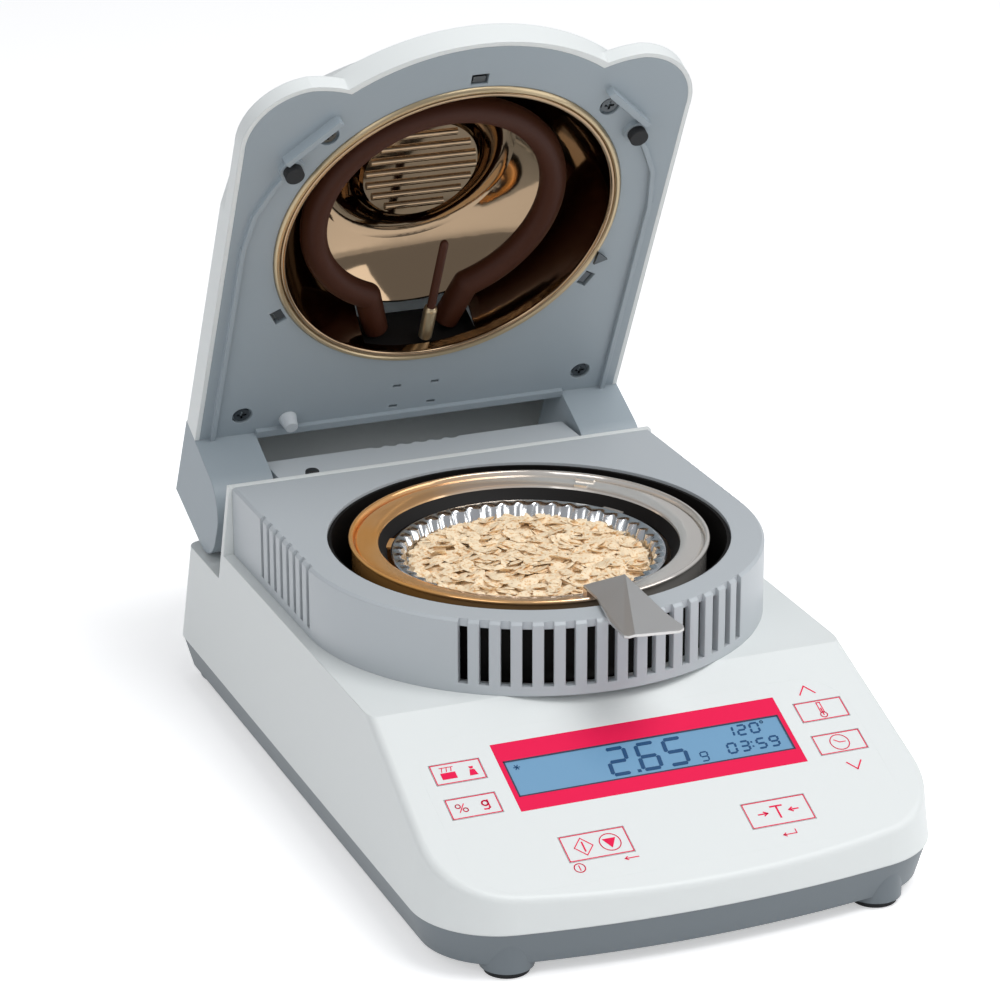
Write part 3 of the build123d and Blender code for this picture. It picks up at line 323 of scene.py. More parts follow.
def make_grain(colours):
    """The sample's flakes."""
    # Rolled oat-like flakes: pale starchy body, browner bran in patches
    grain = new_material("rolled grain", colours.grain, Roughness=0.6, IOR=1.45)
    noise = surface(grain, 1.1, 0.04, detail=4.0)
    tree = grain.node_tree
    ramp = add_node(tree, "ShaderNodeValToRGB", links={"Fac": noise.outputs["Fac"]})
    bran, body = ramp.color_ramp.elements
    bran.position, body.position = 0.3, 0.5
    bran.color = (*linear("#e2ad6b"), 1)
    body.color = (*colours.grain, 1)
    tree.links.new(ramp.outputs["Color"], tree.nodes["Principled BSDF"].inputs["Base Color"])


# What each carried-over solid is made of
NODE_FINISH = {
    "moulded ABS pale": ("upper_housing", "lid_cover"),
    "moulded ABS chamber grey": ("chamber_housing",),
    "moulded ABS liner grey": ("lid_liner",),
    "moulded ABS tray grey": ("base_tray",),
    "moulded ABS light grey": ("hinge_tower", "lid_peg"),
    "moulded nylon black": (
        "power_inlet", "fuse_drawer", "transformer", "display_module", "key_switches",
        "lid_switch_plunger", "hinge_bushes", "foot_screw_left", "foot_screw_right"),
    "moulded rubber": ("front_pads", "foot_pad_left", "foot_pad_right", "lid_bumpers"),
    "stove enamel black": ("chamber_cup", "heater_block"),
    "polyester film pale": (
        "panel_overlay", "key_sample", "key_percent", "key_temperature", "key_time",
        "key_start", "key_tare"),
    "screen print crimson": ("display_frame",),
    "liquid crystal display blue": ("display_glass",),
    "stainless with painted reflection": ("draft_shield", "pan_handler"),
    "anodised reflector bronze": ("reflector", "reflector_centre"),
    "anodised rim champagne": ("reflector_rim",),
    "oxidised alloy sheath": ("heater_tube",),
    "brushed stainless": ("pan_support", "handler_grip", "temperature_probe"),
    "steel darkened with painted shade": ("lid_screws", "reflector_clips"),
    "pressed aluminium foil": ("sample_pan",),
    "zinc-plated steel": ("base_screws", "data_port", "hinge_pins"),
    "milled aluminium": ("weighing_cell", "cell_foot", "cell_post"),
    "circuit board green": ("supply_board", "control_board"),
    "rolled grain": ("grain_sample",),
}


# Mesh helpers
def mesh_piece(name, vertices, faces, finish, body, smooth=True, place=None):
    """A mesh object in the row frame that rides on a body."""
    mesh = bpy.data.meshes.new(name)
    mesh.from_pydata([tuple(v) for v in vertices], [], faces)
    mesh.validate()
    obj = bpy.data.objects.new(name, mesh)
    bpy.context.scene.collection.objects.link(obj)
    if place is not None:
        mesh.transform(place)
    mesh.materials.append(finishes[finish])
    tidy = bmesh.new()
    tidy.from_mesh(mesh)
    bmesh.ops.remove_doubles(tidy, verts=tidy.verts, dist=MERGE_DISTANCE)
    bmesh.ops.recalc_face_normals(tidy, faces=tidy.faces)
    tidy.to_mesh(mesh)
    tidy.free()
    if smooth:
        mesh.shade_smooth()
        mesh.set_sharp_from_angle(angle=PIECE_SHARP)
    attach(obj, body)
    return obj


def lathe(profile, steps, wave=None):
    """Vertices and faces of a closed profile of (radius, height) turned about Z."""
    vertices, faces = [], []
    count = len(profile)
    for i in range(steps):
        a = 2 * pi * i / steps
        for k, (r, z) in enumerate(profile):
            if wave:
                r, z = wave(k, a, r, z)
            vertices.append((r * cos(a), r * sin(a), z))
    for i in range(steps):
        j = (i + 1) % steps
        for k in range(count):
            m = (k + 1) % count
            faces.append((i * count + k, j * count + k, j * count + m, i * count + m))
    return vertices, faces


def arc_points(cx, cy, r, start, end, steps):
    """Points on an arc, angles in degrees."""
    return [
        (cx + r * cos(radians(start + (end - start) * i / steps)),
         cy + r * sin(radians(start + (end - start) * i / steps)))
        for i in range(steps + 1)]


def prism(outline, low, high):
    """A closed prism over a flat outline."""
    n = len(outline)
    vertices = [(x, y, low) for x, y in outline] + [(x, y, high) for x, y in outline]
    faces = [tuple(range(n))[::-1], tuple(range(n, 2 * n))]
    faces += [(i, (i + 1) % n, n + (i + 1) % n, n + i) for i in range(n)]
    return vertices, faces


def joined(shapes):
    """Several (vertices, faces) as one."""
    vertices, faces = [], []
    for vs, fs in shapes:
        base = len(vertices)
        vertices += list(vs)
        faces += [tuple(base + i for i in f) for f in fs]
    return vertices, faces


def round_bar(stations, x, h, sides=20):
    """A round bar along Y through x and h, given by (y, radius) stations in mm."""
    vertices, faces = [], []
    for y, r in stations:
        for k in range(sides):
            a = 2 * pi * k / sides
            vertices.append(((x + r * cos(a)) * MM, y * MM, (h + r * sin(a)) * MM))
    last = (len(stations) - 1) * sides
    for base in range(0, last, sides):
        for k in range(sides):
            m = (k + 1) % sides
            faces.append((base + k, base + m, base + sides + m, base + sides + k))
    faces.append(tuple(range(sides)))
    faces.append(tuple(range(last, last + sides))[::-1])
    return vertices, faces


def in_metres(points):
    """Flat points given in mm, in metres."""
    return [(x * MM, y * MM) for x, y in points]


def corners(x0, y0, x1, y1):
    """The four corners of an upright rectangle."""
    return [(x0, y0), (x1, y0), (x1, y1), (x0, y1)]


def turned_bar(x, y, turn, half_long, half_wide):
    """The four corners of a rectangle about x, y, turned by an angle."""
    spot = Vector((x, y))
    along = Vector((cos(turn), sin(turn))) * half_long
    aside = Vector((-sin(turn), cos(turn))) * half_wide
    return [spot - along - aside, spot + along - aside, spot + along + aside,
            spot - along + aside]


# Printed marks, with their height in mm over the panel's film, and the turn in radians from an
# arrow's way to the barbs of its head
PRINT_LIFT = 0.03
PRINT_THICK = 0.05
ARROW_TURN = 2.55


def line_mark(points, width, close=False):
    """Flat printed line through points in mm, mitred at its corners."""
    shapes = []
    pts = list(points) + ([points[0]] if close else [])
    for (x0, y0), (x1, y1) in zip(pts, pts[1:]):
        run = hypot(x1 - x0, y1 - y0) or 1e-6
        ex, ey = (x1 - x0) / run * width / 2, (y1 - y0) / run * width / 2
        shapes.append([
            (x0 - ex + ey, y0 - ey - ex), (x1 + ex + ey, y1 + ey - ex),
            (x1 + ex - ey, y1 + ey + ex), (x0 - ex - ey, y0 - ey + ex)])
    return shapes


def ring_mark(cx, cy, r, width, steps=28):
    """Flat printed circle line."""
    return line_mark(arc_points(cx, cy, r, 0, 360, steps), width)


def arrow_mark(x0, y0, x1, y1, width, head):
    """A line with an open arrow head at its far end."""
    a = atan2(y1 - y0, x1 - x0)
    marks = line_mark([(x0, y0), (x1, y1)], width)
    for turn in (ARROW_TURN, -ARROW_TURN):
        barb = (x1 + head * cos(a + turn), y1 + head * sin(a + turn))
        marks += line_mark([(x1, y1), barb], width)
    return marks


def dot_mark(x, y, size):
    """A printed square dot with its lower left corner at x, y."""
    return [corners(x, y, x + size, y + size)]


def moved(marks, x, y):
    """The same marks about another centre."""
    return [[(px + x, py + y) for px, py in outline] for outline in marks]


# The bars that each sign lights, of the seven that digit_marks places
SEGMENTS = {
    "0": "abcdef", "1": "bc", "2": "abged", "3": "abgcd", "4": "fgbc", "5": "afgcd",
    "6": "afgedc", "7": "abc", "8": "abcdefg", "9": "abfgcd", "g": "gbcdaf"}


def digit_marks(symbol, x, y, w, h, thick, slant=0.10):
    """Seven-segment digit with its lower left corner at x, y."""
    gap = thick * 0.1
    half = h / 2
    bars = {
        "a": ((gap, h), (w - gap, h)), "d": ((gap, 0), (w - gap, 0)),
        "g": ((gap, half), (w - gap, half)),
        "f": ((0, half + gap), (0, h - gap)), "b": ((w, half + gap), (w, h - gap)),
        "e": ((0, gap), (0, half - gap)), "c": ((w, gap), (w, half - gap))}
    marks = []
    for s in SEGMENTS[symbol]:
        (x0, y0), (x1, y1) = bars[s]
        run = hypot(x1 - x0, y1 - y0)
        ux, uy = (x1 - x0) / run, (y1 - y0) / run
        t = thick / 2
        run_in = t * 0.6
        outline = [
            (x0 + ux * gap, y0 + uy * gap),
            (x0 + ux * (gap + run_in) + uy * t, y0 + uy * (gap + run_in) - ux * t),
            (x1 - ux * (gap + run_in) + uy * t, y1 - uy * (gap + run_in) - ux * t),
            (x1 - ux * gap, y1 - uy * gap),
            (x1 - ux * (gap + run_in) - uy * t, y1 - uy * (gap + run_in) + ux * t),
            (x0 + ux * (gap + run_in) - uy * t, y0 + uy * (gap + run_in) + ux * t)]
        marks.append([(x + px + (py * slant), y + py) for px, py in outline])
    return marks


def printed(name, marks, finish, body, lift=PRINT_LIFT):
    """Flat marks in panel millimetres as one thin raised print."""
    shapes = []
    for outline in marks:
        pts = in_metres(outline)
        area = sum(a[0] * b[1] - b[0] * a[1] for a, b in zip(pts, pts[1:] + pts[:1]))
        if area < 0:
            pts = pts[::-1]
        shapes.append(prism(pts, lift * MM, (lift + PRINT_THICK) * MM))
    vertices, faces = joined(shapes)
    return mesh_piece(name, vertices, faces, finish, body, smooth=False,
                      place=panel_frame)


# Operators
class ANALYZER_OT_finishes(bpy.types.Operator):
    """Gives every carried-over solid its material"""

    bl_idname = "analyzer.finishes"
    bl_label = "Finishes"

    def execute(self, context):
        colours = context.scene.analyzer_colours
        make_moulded(colours)
        make_printed(colours)
        make_reflection_painted_steel()
        make_heated()
        make_bare()
        make_grain(colours)
        done = set()
        for finish, nodes in NODE_FINISH.items():
            for node in nodes:
                obj = frame["nodes"][node]
                obj.data.materials.clear()
                obj.data.materials.append(finishes[finish])
                obj.data.shade_smooth()
                obj.data.set_sharp_from_angle(angle=SOLID_SHARP)
                done.add(node)
        missing = set(frame["nodes"]) - done
        if missing:
            raise RuntimeError(f"no finish for {sorted(missing)}")
        return {"FINISHED"}


class ANALYZER_OT_shield(bpy.types.Operator):
    """Turns the polished draft shield with its rolled top edge"""

    bl_idname = "analyzer.shield"
    bl_label = "Draft shield"

    def execute(self, context):
        low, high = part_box("draft_shield")
        floor, top = low.z, high.z
        wall = (high.x - low.x) / 2 - 1.0 * MM
        inside = wall - SHEET
        ledge = wall - 3.1 * MM
        hole = 14 * MM
        bead = 0.75 * MM
        profile = [(hole, floor), (wall - 2 * MM, floor), (wall - 0.5 * MM, floor + 0.6 * MM),
                   (wall, floor + 2 * MM), (wall, top - 2 * bead)]
        profile += arc_points(wall + bead * 0.4, top - bead, bead, -60, 180, 8)
        profile += [(inside, top - 1.6 * MM), (inside, ring_seat), (ledge, ring_seat),
                    (ledge, ring_seat - SHEET), (inside, ring_seat - 2.0 * MM),
                    (inside, floor + 2.4 * MM), (wall - 2.4 * MM, floor + SHEET),
                    (hole, floor + SHEET)]
        vertices, faces = lathe(profile, ROUND_STEPS)
        obj = mesh_piece("draft_shield_polished", vertices, faces, "stainless with painted reflection",
                         "shield", place=chamber_frame)
        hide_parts("draft_shield")
        return {"FINISHED"}


# The lifting ring in mm about the chamber's centre. Its profiles are (radius, height), the
# flat's over its seat and the skirt's ends over the solid's low edge or the seat.
RING_FLAT = [(49.3, -0.6), (49.7, -0.1), (56.3, 0.35), (56.4, 0.8), (56.0, 1.1), (50.0, 0.7),
             (49.2, 0.3), (49.0, -0.3)]
SKIRT_FOOT = [(46.6, 0.7), (46.2, 0.4), (46.2, 0.0), (47.0, 0.0), (47.2, 0.5)]
SKIRT_TOP = [(49.4, -0.7), (49.0, -0.3)]

# Three lugs inside the skirt's foot: their place from the centre, half length and half width
LUG_REACH, LUG_HALF, LUG_SIDE = 45.2, 1.6, 4.0

# Tabs that stand on the flat: x, y, turn in degrees, half length and height
RING_TABS = (
    (37.2, 40.6, -42.5, 3.2, 1.9), (34.3, 37.4, -42.5, 2.2, 1.4), (-8.6, -53.6, 9.0, 3.6, 1.7))
TAB_SIDE = 0.9

# The step from the ring up to its finger grip, and the grip's sheet, both seen from above
RISER = corners(-3.0, -55.0, 11.0, -51.8)
GRIP_EDGE = [(-3.0, -52.2), (11.0, -52.2), (11.0, -60.0), (11.3, -83.0), (12.1, -90.5),
             (12.5, -93.4), (11.9, -95.3), (9.8, -96.8), (-5.0, -98.0), (-7.2, -97.3),
             (-8.1, -95.6), (-7.0, -82.5), (-3.0, -63.0)]
GRIP_LIFT, GRIP_THICK = 0.85, 0.9

# The sheet is folded from the neck's right side to its front left corner, and falls by these
# shares of the distance from the fold on its right and left
FOLD_START, FOLD_END = Vector((10.6, -54.0)), Vector((-5.6, -98.0))
FOLD_RISE, FOLD_FALLS = 1.6, (0.12, 0.26)


def folded_grip():
    """Vertices and faces of the finger grip's sheet, raised along its fold."""
    fold_way = (FOLD_END - FOLD_START).normalized()

    def rise(x, y):
        away = fold_way.x * (y - FOLD_START.y) - fold_way.y * (x - FOLD_START.x)
        fall = FOLD_FALLS[0] if away > 0 else FOLD_FALLS[1]
        return max(0.0, FOLD_RISE - fall * abs(away))

    base_z = block_top + GRIP_LIFT * MM
    plate = bmesh.new()
    plate.faces.new([plate.verts.new((x * MM, y * MM, 0)) for x, y in GRIP_EDGE])
    bmesh.ops.bisect_plane(
        plate, geom=plate.verts[:] + plate.edges[:] + plate.faces[:],
        plane_co=(FOLD_START.x * MM, FOLD_START.y * MM, 0),
        plane_no=(-fold_way.y, fold_way.x, 0))
    bmesh.ops.recalc_face_normals(plate, faces=plate.faces[:])
    if plate.faces[:][0].normal.z < 0:
        bmesh.ops.reverse_faces(plate, faces=plate.faces[:])
    plate.verts.index_update()
    under = [(v.co.x, v.co.y, base_z + rise(v.co.x / MM, v.co.y / MM) * MM)
             for v in plate.verts]
    tops = [tuple(v.index for v in f.verts) for f in plate.faces]
    border = [tuple(v.index for v in e.verts) for e in plate.edges if e.is_boundary]
    plate.free()
    count = len(under)
    vertices = under + [(x, y, z + GRIP_THICK * MM) for x, y, z in under]
    faces = [f[::-1] for f in tops] + [tuple(i + count for i in f) for f in tops]
    faces += [(a, b, b + count, a + count) for a, b in border]
    return vertices, faces


class ANALYZER_OT_handler(bpy.types.Operator):
    """Turns the lifting ring and its skirt, and folds its finger grip"""

    bl_idname = "analyzer.handler"
    bl_label = "Lifting ring"

    def execute(self, context):
        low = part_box("pan_handler")[0]
        foot = [(r * MM, low.z + z * MM) for r, z in SKIRT_FOOT]
        top = [(r * MM, ring_seat + z * MM) for r, z in SKIRT_TOP]
        vertices, faces = lathe(foot + top, ROUND_STEPS)
        sleeve = mesh_piece("lifting_ring_skirt", vertices, faces, "stove enamel black",
                            "handler", place=chamber_frame)
        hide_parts("pan_handler")

        flat = [(r * MM, ring_seat + z * MM) for r, z in RING_FLAT]
        shapes = [lathe(flat, ROUND_STEPS)]
        for i in range(3):
            turn = radians(30 + 120 * i)
            outline = turned_bar(LUG_REACH * cos(turn), LUG_REACH * sin(turn), turn,
                                 LUG_HALF, LUG_SIDE)
            shapes.append(prism(in_metres(outline), low.z, low.z + SHEET))
        shapes.append(prism(in_metres(RISER), ring_seat, block_top + 1.2 * MM))
        for x, y, degrees, half, height in RING_TABS:
            outline = turned_bar(x, y, radians(degrees), half, TAB_SIDE)
            shapes.append(prism(in_metres(outline), ring_seat + 0.2 * MM,
                                ring_seat + height * MM))
        vertices, faces = joined(shapes)
        ring = mesh_piece("lifting_ring", vertices, faces, "stainless with painted reflection", "handler",
                          place=chamber_frame)
        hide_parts("pan_handler")

        vertices, faces = folded_grip()
        grip = mesh_piece("finger_grip", vertices, faces, "brushed stainless", "handler",
                          smooth=False, place=chamber_frame)
        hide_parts("handler_grip")
        return {"FINISHED"}


class ANALYZER_OT_probe(bpy.types.Operator):
    """Draws the temperature probe: a bright sleeve and a rod browned by heat"""

    bl_idname = "analyzer.probe"
    bl_label = "Temperature probe"

    def execute(self, context):
        # Place toward the hinge and radius of each turned step, in mm on the lid
        rod = [(44.0, 1.5), (30.0, 1.5), (15.2, 1.5), (14.0, 1.35), (13.2, 0.8), (13.0, 0.2)]
        sleeve = [(57.5, 2.4), (45.2, 2.4), (44.2, 2.2), (43.6, 1.55)]
        probe_x, probe_depth = 3.2, 7.0
        for name, stations, finish in (
                ("probe_rod", rod, "oxidised alloy sheath"),
                ("probe_sleeve", sleeve, "anodised rim champagne")):
            vertices, faces = round_bar(stations, probe_x, probe_depth)
            obj = mesh_piece(name, vertices, faces, finish, "lid",
                             place=lid_frame)
            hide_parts("temperature_probe")
        return {"FINISHED"}


# How far the pan's flutes reach in and out at the points of its profile that they cross, in mm
FLUTE_DEPTHS = {3: 0.35, 4: 0.75, 5: 0.3, 10: 0.3, 11: 0.75, 12: 0.4}
STEPS_PER_FLUTE = 8


class ANALYZER_OT_pan(bpy.types.Operator):
    """Presses the fluted foil dish"""

    bl_idname = "analyzer.pan"
    bl_label = "Sample pan"

    def execute(self, context):
        sizes = context.scene.analyzer_sizes
        low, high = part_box("sample_pan")
        rim, floor = sizes.pan_radius, sizes.pan_floor_radius
        centre = 0.3 * MM
        foil = 0.25 * MM
        z0, z1 = low.z, high.z
        profile = [(centre, z0), (floor - 4 * MM, z0), (floor - 0.6 * MM, z0 + 0.1 * MM),
                   (floor, z0 + 0.7 * MM), (rim - 3.0 * MM, z1 - 0.9 * MM),
                   (rim - 2.4 * MM, z1 - 0.5 * MM), (rim - 0.6 * MM, z1 - 0.45 * MM),
                   (rim - 0.1 * MM, z1 - 0.75 * MM), (rim, z1 - 0.35 * MM),
                   (rim - 0.5 * MM, z1), (rim - 2.4 * MM, z1 - 0.15 * MM),
                   (rim - 3.3 * MM, z1 - 0.6 * MM), (floor - 0.4 * MM, z0 + 0.9 * MM),
                   (floor - 1.1 * MM, z0 + 0.35 * MM), (floor - 4.2 * MM, z0 + foil),
                   (centre, z0 + foil)]
        flutes = sizes.flute_count

        def wave(k, a, r, z):
            return r + FLUTE_DEPTHS.get(k, 0.0) * MM * sin(flutes * a), z

        vertices, faces = lathe(profile, flutes * STEPS_PER_FLUTE, wave)
        obj = mesh_piece("sample_pan_fluted", vertices, faces, "pressed aluminium foil",
                         "pan", place=chamber_frame)
        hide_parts("sample_pan")
        return {"FINISHED"}


# Each side of a flake is a fan of spokes crossed by rings, with one vertex in its middle, and
# its tip may reach past the flat bed by the overhang
FLAKE_RINGS, FLAKE_SPOKES = 3, 12
FLAKE_OVERHANG = 0.8 * MM
GRAIN_SEED = 11
BED_STEPS = 64


def flake_vertices(rng, bed_r, bed_top):
    """One curled flake with an uneven edge, at its place on the bed."""
    r = bed_r * sqrt(rng.random())
    a = rng.random() * 2 * pi
    long_half = rng.uniform(2.4, 4.7) * MM
    wide_half = long_half * rng.uniform(0.42, 0.72)
    half_thick = rng.uniform(0.45, 0.75) * MM * 0.5
    curl = rng.uniform(-0.2, 0.2)
    fold = rng.uniform(-0.2, 0.4) * MM
    wobble = [rng.uniform(0.82, 1.1) for _ in range(FLAKE_SPOKES)]
    turn = (Matrix.Rotation(rng.random() * 2 * pi, 3, "Z")
            @ Matrix.Rotation(rng.gauss(0, 0.25), 3, "X")
            @ Matrix.Rotation(rng.gauss(0, 0.2), 3, "Y"))
    # The heap is lower near the pan's wall
    room = 1 - (r / bed_r) ** 4 * 0.7
    lift = bed_top + rng.uniform(0.0, 1.7) * MM * room
    too_far = r + long_half - bed_r - FLAKE_OVERHANG
    if too_far > 0:
        r -= too_far
    centre = Vector((r * cos(a), r * sin(a), lift))
    vertices = []
    for side in (1, -1):
        for ring in range(1, FLAKE_RINGS + 1):
            f = ring / FLAKE_RINGS
            for k in range(FLAKE_SPOKES):
                t = 2 * pi * k / FLAKE_SPOKES
                x = long_half * f * cos(t) * wobble[k]
                y = wide_half * f * sin(t) * wobble[k]
                z = (side * half_thick * (1 - f ** 3)
                     + curl * x * x / long_half + fold * abs(y) / wide_half)
                vertices.append(centre + turn @ Vector((x, y, z)))
        vertices.append(centre + turn @ Vector((0, 0, side * half_thick)))
    return vertices


def flake_faces():
    """The faces that every flake has, the lower side's turned the other way."""
    per_side = FLAKE_RINGS * FLAKE_SPOKES + 1
    faces = []
    for base, way in ((0, 1), (per_side, -1)):
        for k in range(FLAKE_SPOKES):
            m = (k + 1) % FLAKE_SPOKES
            faces.append((base + per_side - 1, base + k, base + m)[::way])
            for ring in range(FLAKE_RINGS - 1):
                near = base + ring * FLAKE_SPOKES
                far = near + FLAKE_SPOKES
                faces.append((near + k, far + k, far + m, near + m)[::way])
    return faces


class ANALYZER_OT_grain(bpy.types.Operator):
    """Strews the grain flakes in the pan"""

    bl_idname = "analyzer.grain"
    bl_label = "Grain flakes"

    def execute(self, context):
        sizes = context.scene.analyzer_sizes
        rng = random.Random(GRAIN_SEED)
        low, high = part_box("grain_sample")
        bed_r = sizes.pan_floor_radius - 1.2 * MM
        bed_top = low.z + (high.z - low.z) * 0.5
        centre = 0.2 * MM
        bed = [(centre, low.z), (bed_r, low.z), (bed_r, low.z + 0.6 * MM),
               (bed_r - 3 * MM, bed_top), (centre, bed_top)]
        shapes = [lathe(bed, BED_STEPS)]
        faces = flake_faces()
        for _ in range(sizes.flake_count):
            shapes.append((flake_vertices(rng, bed_r, bed_top), faces))
        vertices, faces = joined(shapes)
        obj = mesh_piece("grain_flakes", vertices, faces, "rolled grain", "pan",
                         place=chamber_frame)
        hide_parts("grain_sample")
        return {"FINISHED"}


# The reflector's edge in mm on the lid: inside of the rolled bead, the rim ring's profile as
# (radius, depth), and the small tab that laps over the rim
BEAD_INSIDE, BEAD_DEPTH = 57.1, -0.15
RIM_RING = [(58.7, 0.4), (58.9, -0.5), (59.5, -1.1), (60.3, -1.1), (60.9, -0.6), (61.15, 0.1),
            (61.15, 2.4), (60.0, 2.4), (60.0, 0.6)]
RIM_TAB = [(56.6, 24.2), (57.4, 18.9), (61.4, 22.4)]
RIM_TAB_LOW, RIM_TAB_HIGH = -1.9, -0.9


class ANALYZER_OT_reflector(bpy.types.Operator):
    """Spins the reflector's rolled edge and rim ring, and sets the tab on them"""

    bl_idname = "analyzer.reflector"
    bl_label = "Reflector"

    def execute(self, context):
        # The bowl's rolled edge shows as a bronze bead inside the cream rim
        bead = context.scene.analyzer_sizes.bead_radius / MM
        rolled = arc_points(BEAD_INSIDE + bead, BEAD_DEPTH, bead, 0, 345, 23)
        for name, profile, finish, slot in (
                ("reflector_edge_bead", rolled, "anodised reflector bronze", "gold_reflector"),
                ("reflector_rim_ring", RIM_RING, "anodised rim champagne", "cream_rim")):
            vertices, faces = lathe(in_metres(profile), ROUND_STEPS)
            obj = mesh_piece(name, vertices, faces, finish, "lid", place=lid_frame)
            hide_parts("reflector_rim")
        vertices, faces = prism(in_metres(RIM_TAB), RIM_TAB_LOW * MM, RIM_TAB_HIGH * MM)
        mesh_piece("rim_tab", vertices, faces, "steel darkened with painted shade", "lid",
                   smooth=False, place=lid_frame)
        return {"FINISHED"}


# Centre, width and height of each key's print on the panel, in mm
KEYS = {
    "key_sample": (-61.0, 5.6, 16.6, 8.6),
    "key_percent": (-61.0, -8.6, 16.6, 8.6),
    "key_temperature": (61.0, 5.6, 16.6, 8.6),
    "key_time": (61.0, -8.6, 16.6, 8.6),
    "key_start": (-30.0, -31.4, 21.5, 10.6),
    "key_tare": (30.0, -31.4, 21.5, 10.6),
}
KEY_MARGIN = 0.45


def key_symbol(name, line):
    """The plain symbol printed on one key, in mm about the key's centre."""
    if name == "key_sample":
        # A heated plate beside a weight
        marks = [corners(-5.6, -2.2, -0.8, 0.4)]
        for x in (-4.9, -3.4, -1.9):
            marks += line_mark([(x, 0.9), (x + 0.4, 2.4)], line * 0.8)
        marks += line_mark([(-5.2, 2.5), (-1.0, 2.5)], line * 0.8)
        marks += [[(3.2, -2.2), (5.9, -2.2), (5.3, 0.2), (3.8, 0.2)],
                  [(4.1, 0.5), (5.0, 0.5), (5.3, 1.4), (3.8, 1.4)]]
    elif name == "key_percent":
        # A percent sign and a letter g
        marks = (line_mark([(-4.9, -1.6), (-2.9, 1.5)], line)
                 + ring_mark(-4.9, 0.8, 0.75, line, 16)
                 + ring_mark(-2.9, -0.9, 0.75, line, 16)
                 + ring_mark(3.7, 0.4, 0.95, line * 1.6, 18)
                 + line_mark([(4.7, 1.4), (4.7, -1.5), (4.1, -2.0), (2.9, -1.9)], line * 1.6))
    elif name == "key_temperature":
        # A thermometer
        marks = (line_mark([(-0.6, -1.2), (-0.6, 3.1), (0.6, 3.1), (0.6, -1.2)], line)
                 + ring_mark(0, -2.1, 1.1, line, 18)
                 + line_mark([(0, -2.1), (0, 0.6)], line * 1.2))
    elif name == "key_time":
        # A clock
        marks = (ring_mark(0, 0, 3.1, line, 28)
                 + line_mark([(-1.5, 1.2), (0, 0), (1.9, 0)], line))
    elif name == "key_start":
        # A diamond with a bar for start, and a triangle in a circle for stop
        diamond = [(-7.2, 0), (-4.2, 3.4), (-1.2, 0), (-4.2, -3.4)]
        marks = (line_mark(diamond, line, close=True)
                 + line_mark([(-4.2, -1.7), (-4.2, 1.7)], line * 1.6)
                 + ring_mark(4.4, 0, 3.3, line, 32)
                 + [[(2.2, 1.5), (6.6, 1.5), (4.4, -2.3)]])
    else:
        # A T between two arrows
        marks = (line_mark([(-1.8, 2.3), (1.8, 2.3)], line * 1.8)
                 + line_mark([(0, -2.3), (0, 2.3)], line * 1.8)
                 + arrow_mark(-6.6, 0, -3.6, 0, line * 1.4, 1.3)
                 + arrow_mark(6.6, 0, 3.6, 0, line * 1.4, 1.3))
    return marks


def loose_symbols(line):
    """The signs printed on the film beside the keys."""
    return (line_mark([(56.8, 13.0), (59.4, 16.4), (62.0, 13.0)], line * 1.4)
            + line_mark([(59.6, -17.2), (62.0, -20.4), (64.4, -17.2)], line * 1.4)
            + ring_mark(-38.4, -39.1, 1.7, line, 24)
            + line_mark([(-38.4, -40.0), (-38.4, -38.2)], line)
            + arrow_mark(-19.2, -38.7, -23.6, -38.7, line, 1.1)
            + line_mark([(32.2, -39.2), (32.2, -40.7), (28.0, -40.7)], line)
            + arrow_mark(28.6, -40.7, 27.8, -40.7, line, 1.1))


# The display's frame line, and its signs as (sign, left edge): the weight, then the
# temperature over the time. A sign's size is its width, its height and its bars' thickness.
DISPLAY_HALF, DISPLAY_LOW, DISPLAY_TOP = 45.9, -8.0, 6.4
WEIGHT = (("2", -14.3), ("6", -4.2), ("5", 4.9))
TEMPERATURE = (("1", 26.6), ("2", 30.9), ("0", 35.3))
TIME = (("0", 24.9), ("3", 29.3), ("5", 34.9), ("9", 39.3))
WEIGHT_SIZE, UNIT_SIZE, SMALL_SIZE = (6.0, 10.4, 1.35), (2.3, 3.6, 0.5), (2.7, 3.9, 0.72)
WEIGHT_Y, UNIT_Y, TEMPERATURE_Y, TIME_Y = -6.0, -6.6, 1.2, -5.4
OUTLINE_LIFT, DIGIT_LIFT = 0.0, -0.18


def display_signs():
    """The digits that the display shows, its unit, colon and point, and its small star."""
    marks = []
    for symbol, x in WEIGHT:
        marks += digit_marks(symbol, x, WEIGHT_Y, *WEIGHT_SIZE)
    marks += dot_mark(-6.3, -6.6, 1.2)
    marks += digit_marks("g", 15.2, UNIT_Y, *UNIT_SIZE)
    for symbol, x in TEMPERATURE:
        marks += digit_marks(symbol, x, TEMPERATURE_Y, *SMALL_SIZE)
    marks += ring_mark(39.9, 5.0, 0.45, 0.3, 12)
    for symbol, x in TIME:
        marks += digit_marks(symbol, x, TIME_Y, *SMALL_SIZE)
    for y in (-4.4, -2.6):
        marks += dot_mark(33.1, y, 0.6)
    star_x, star_y, star_r = -42.6, 3.6, 0.9
    for k in range(3):
        dx, dy = star_r * cos(radians(60 * k)), star_r * sin(radians(60 * k))
        marks += line_mark([(star_x - dx, star_y - dy), (star_x + dx, star_y + dy)], 0.35)
    return marks


# Corner centres of the panel's film, and the two edges of its strip as radii about them
FILM_X, FILM_LOW, FILM_TOP = 55.95, -27.95, 4.45
STRIP_IN, STRIP_OUT = 15.4, 16.9
STRIP_LIFT = -0.03


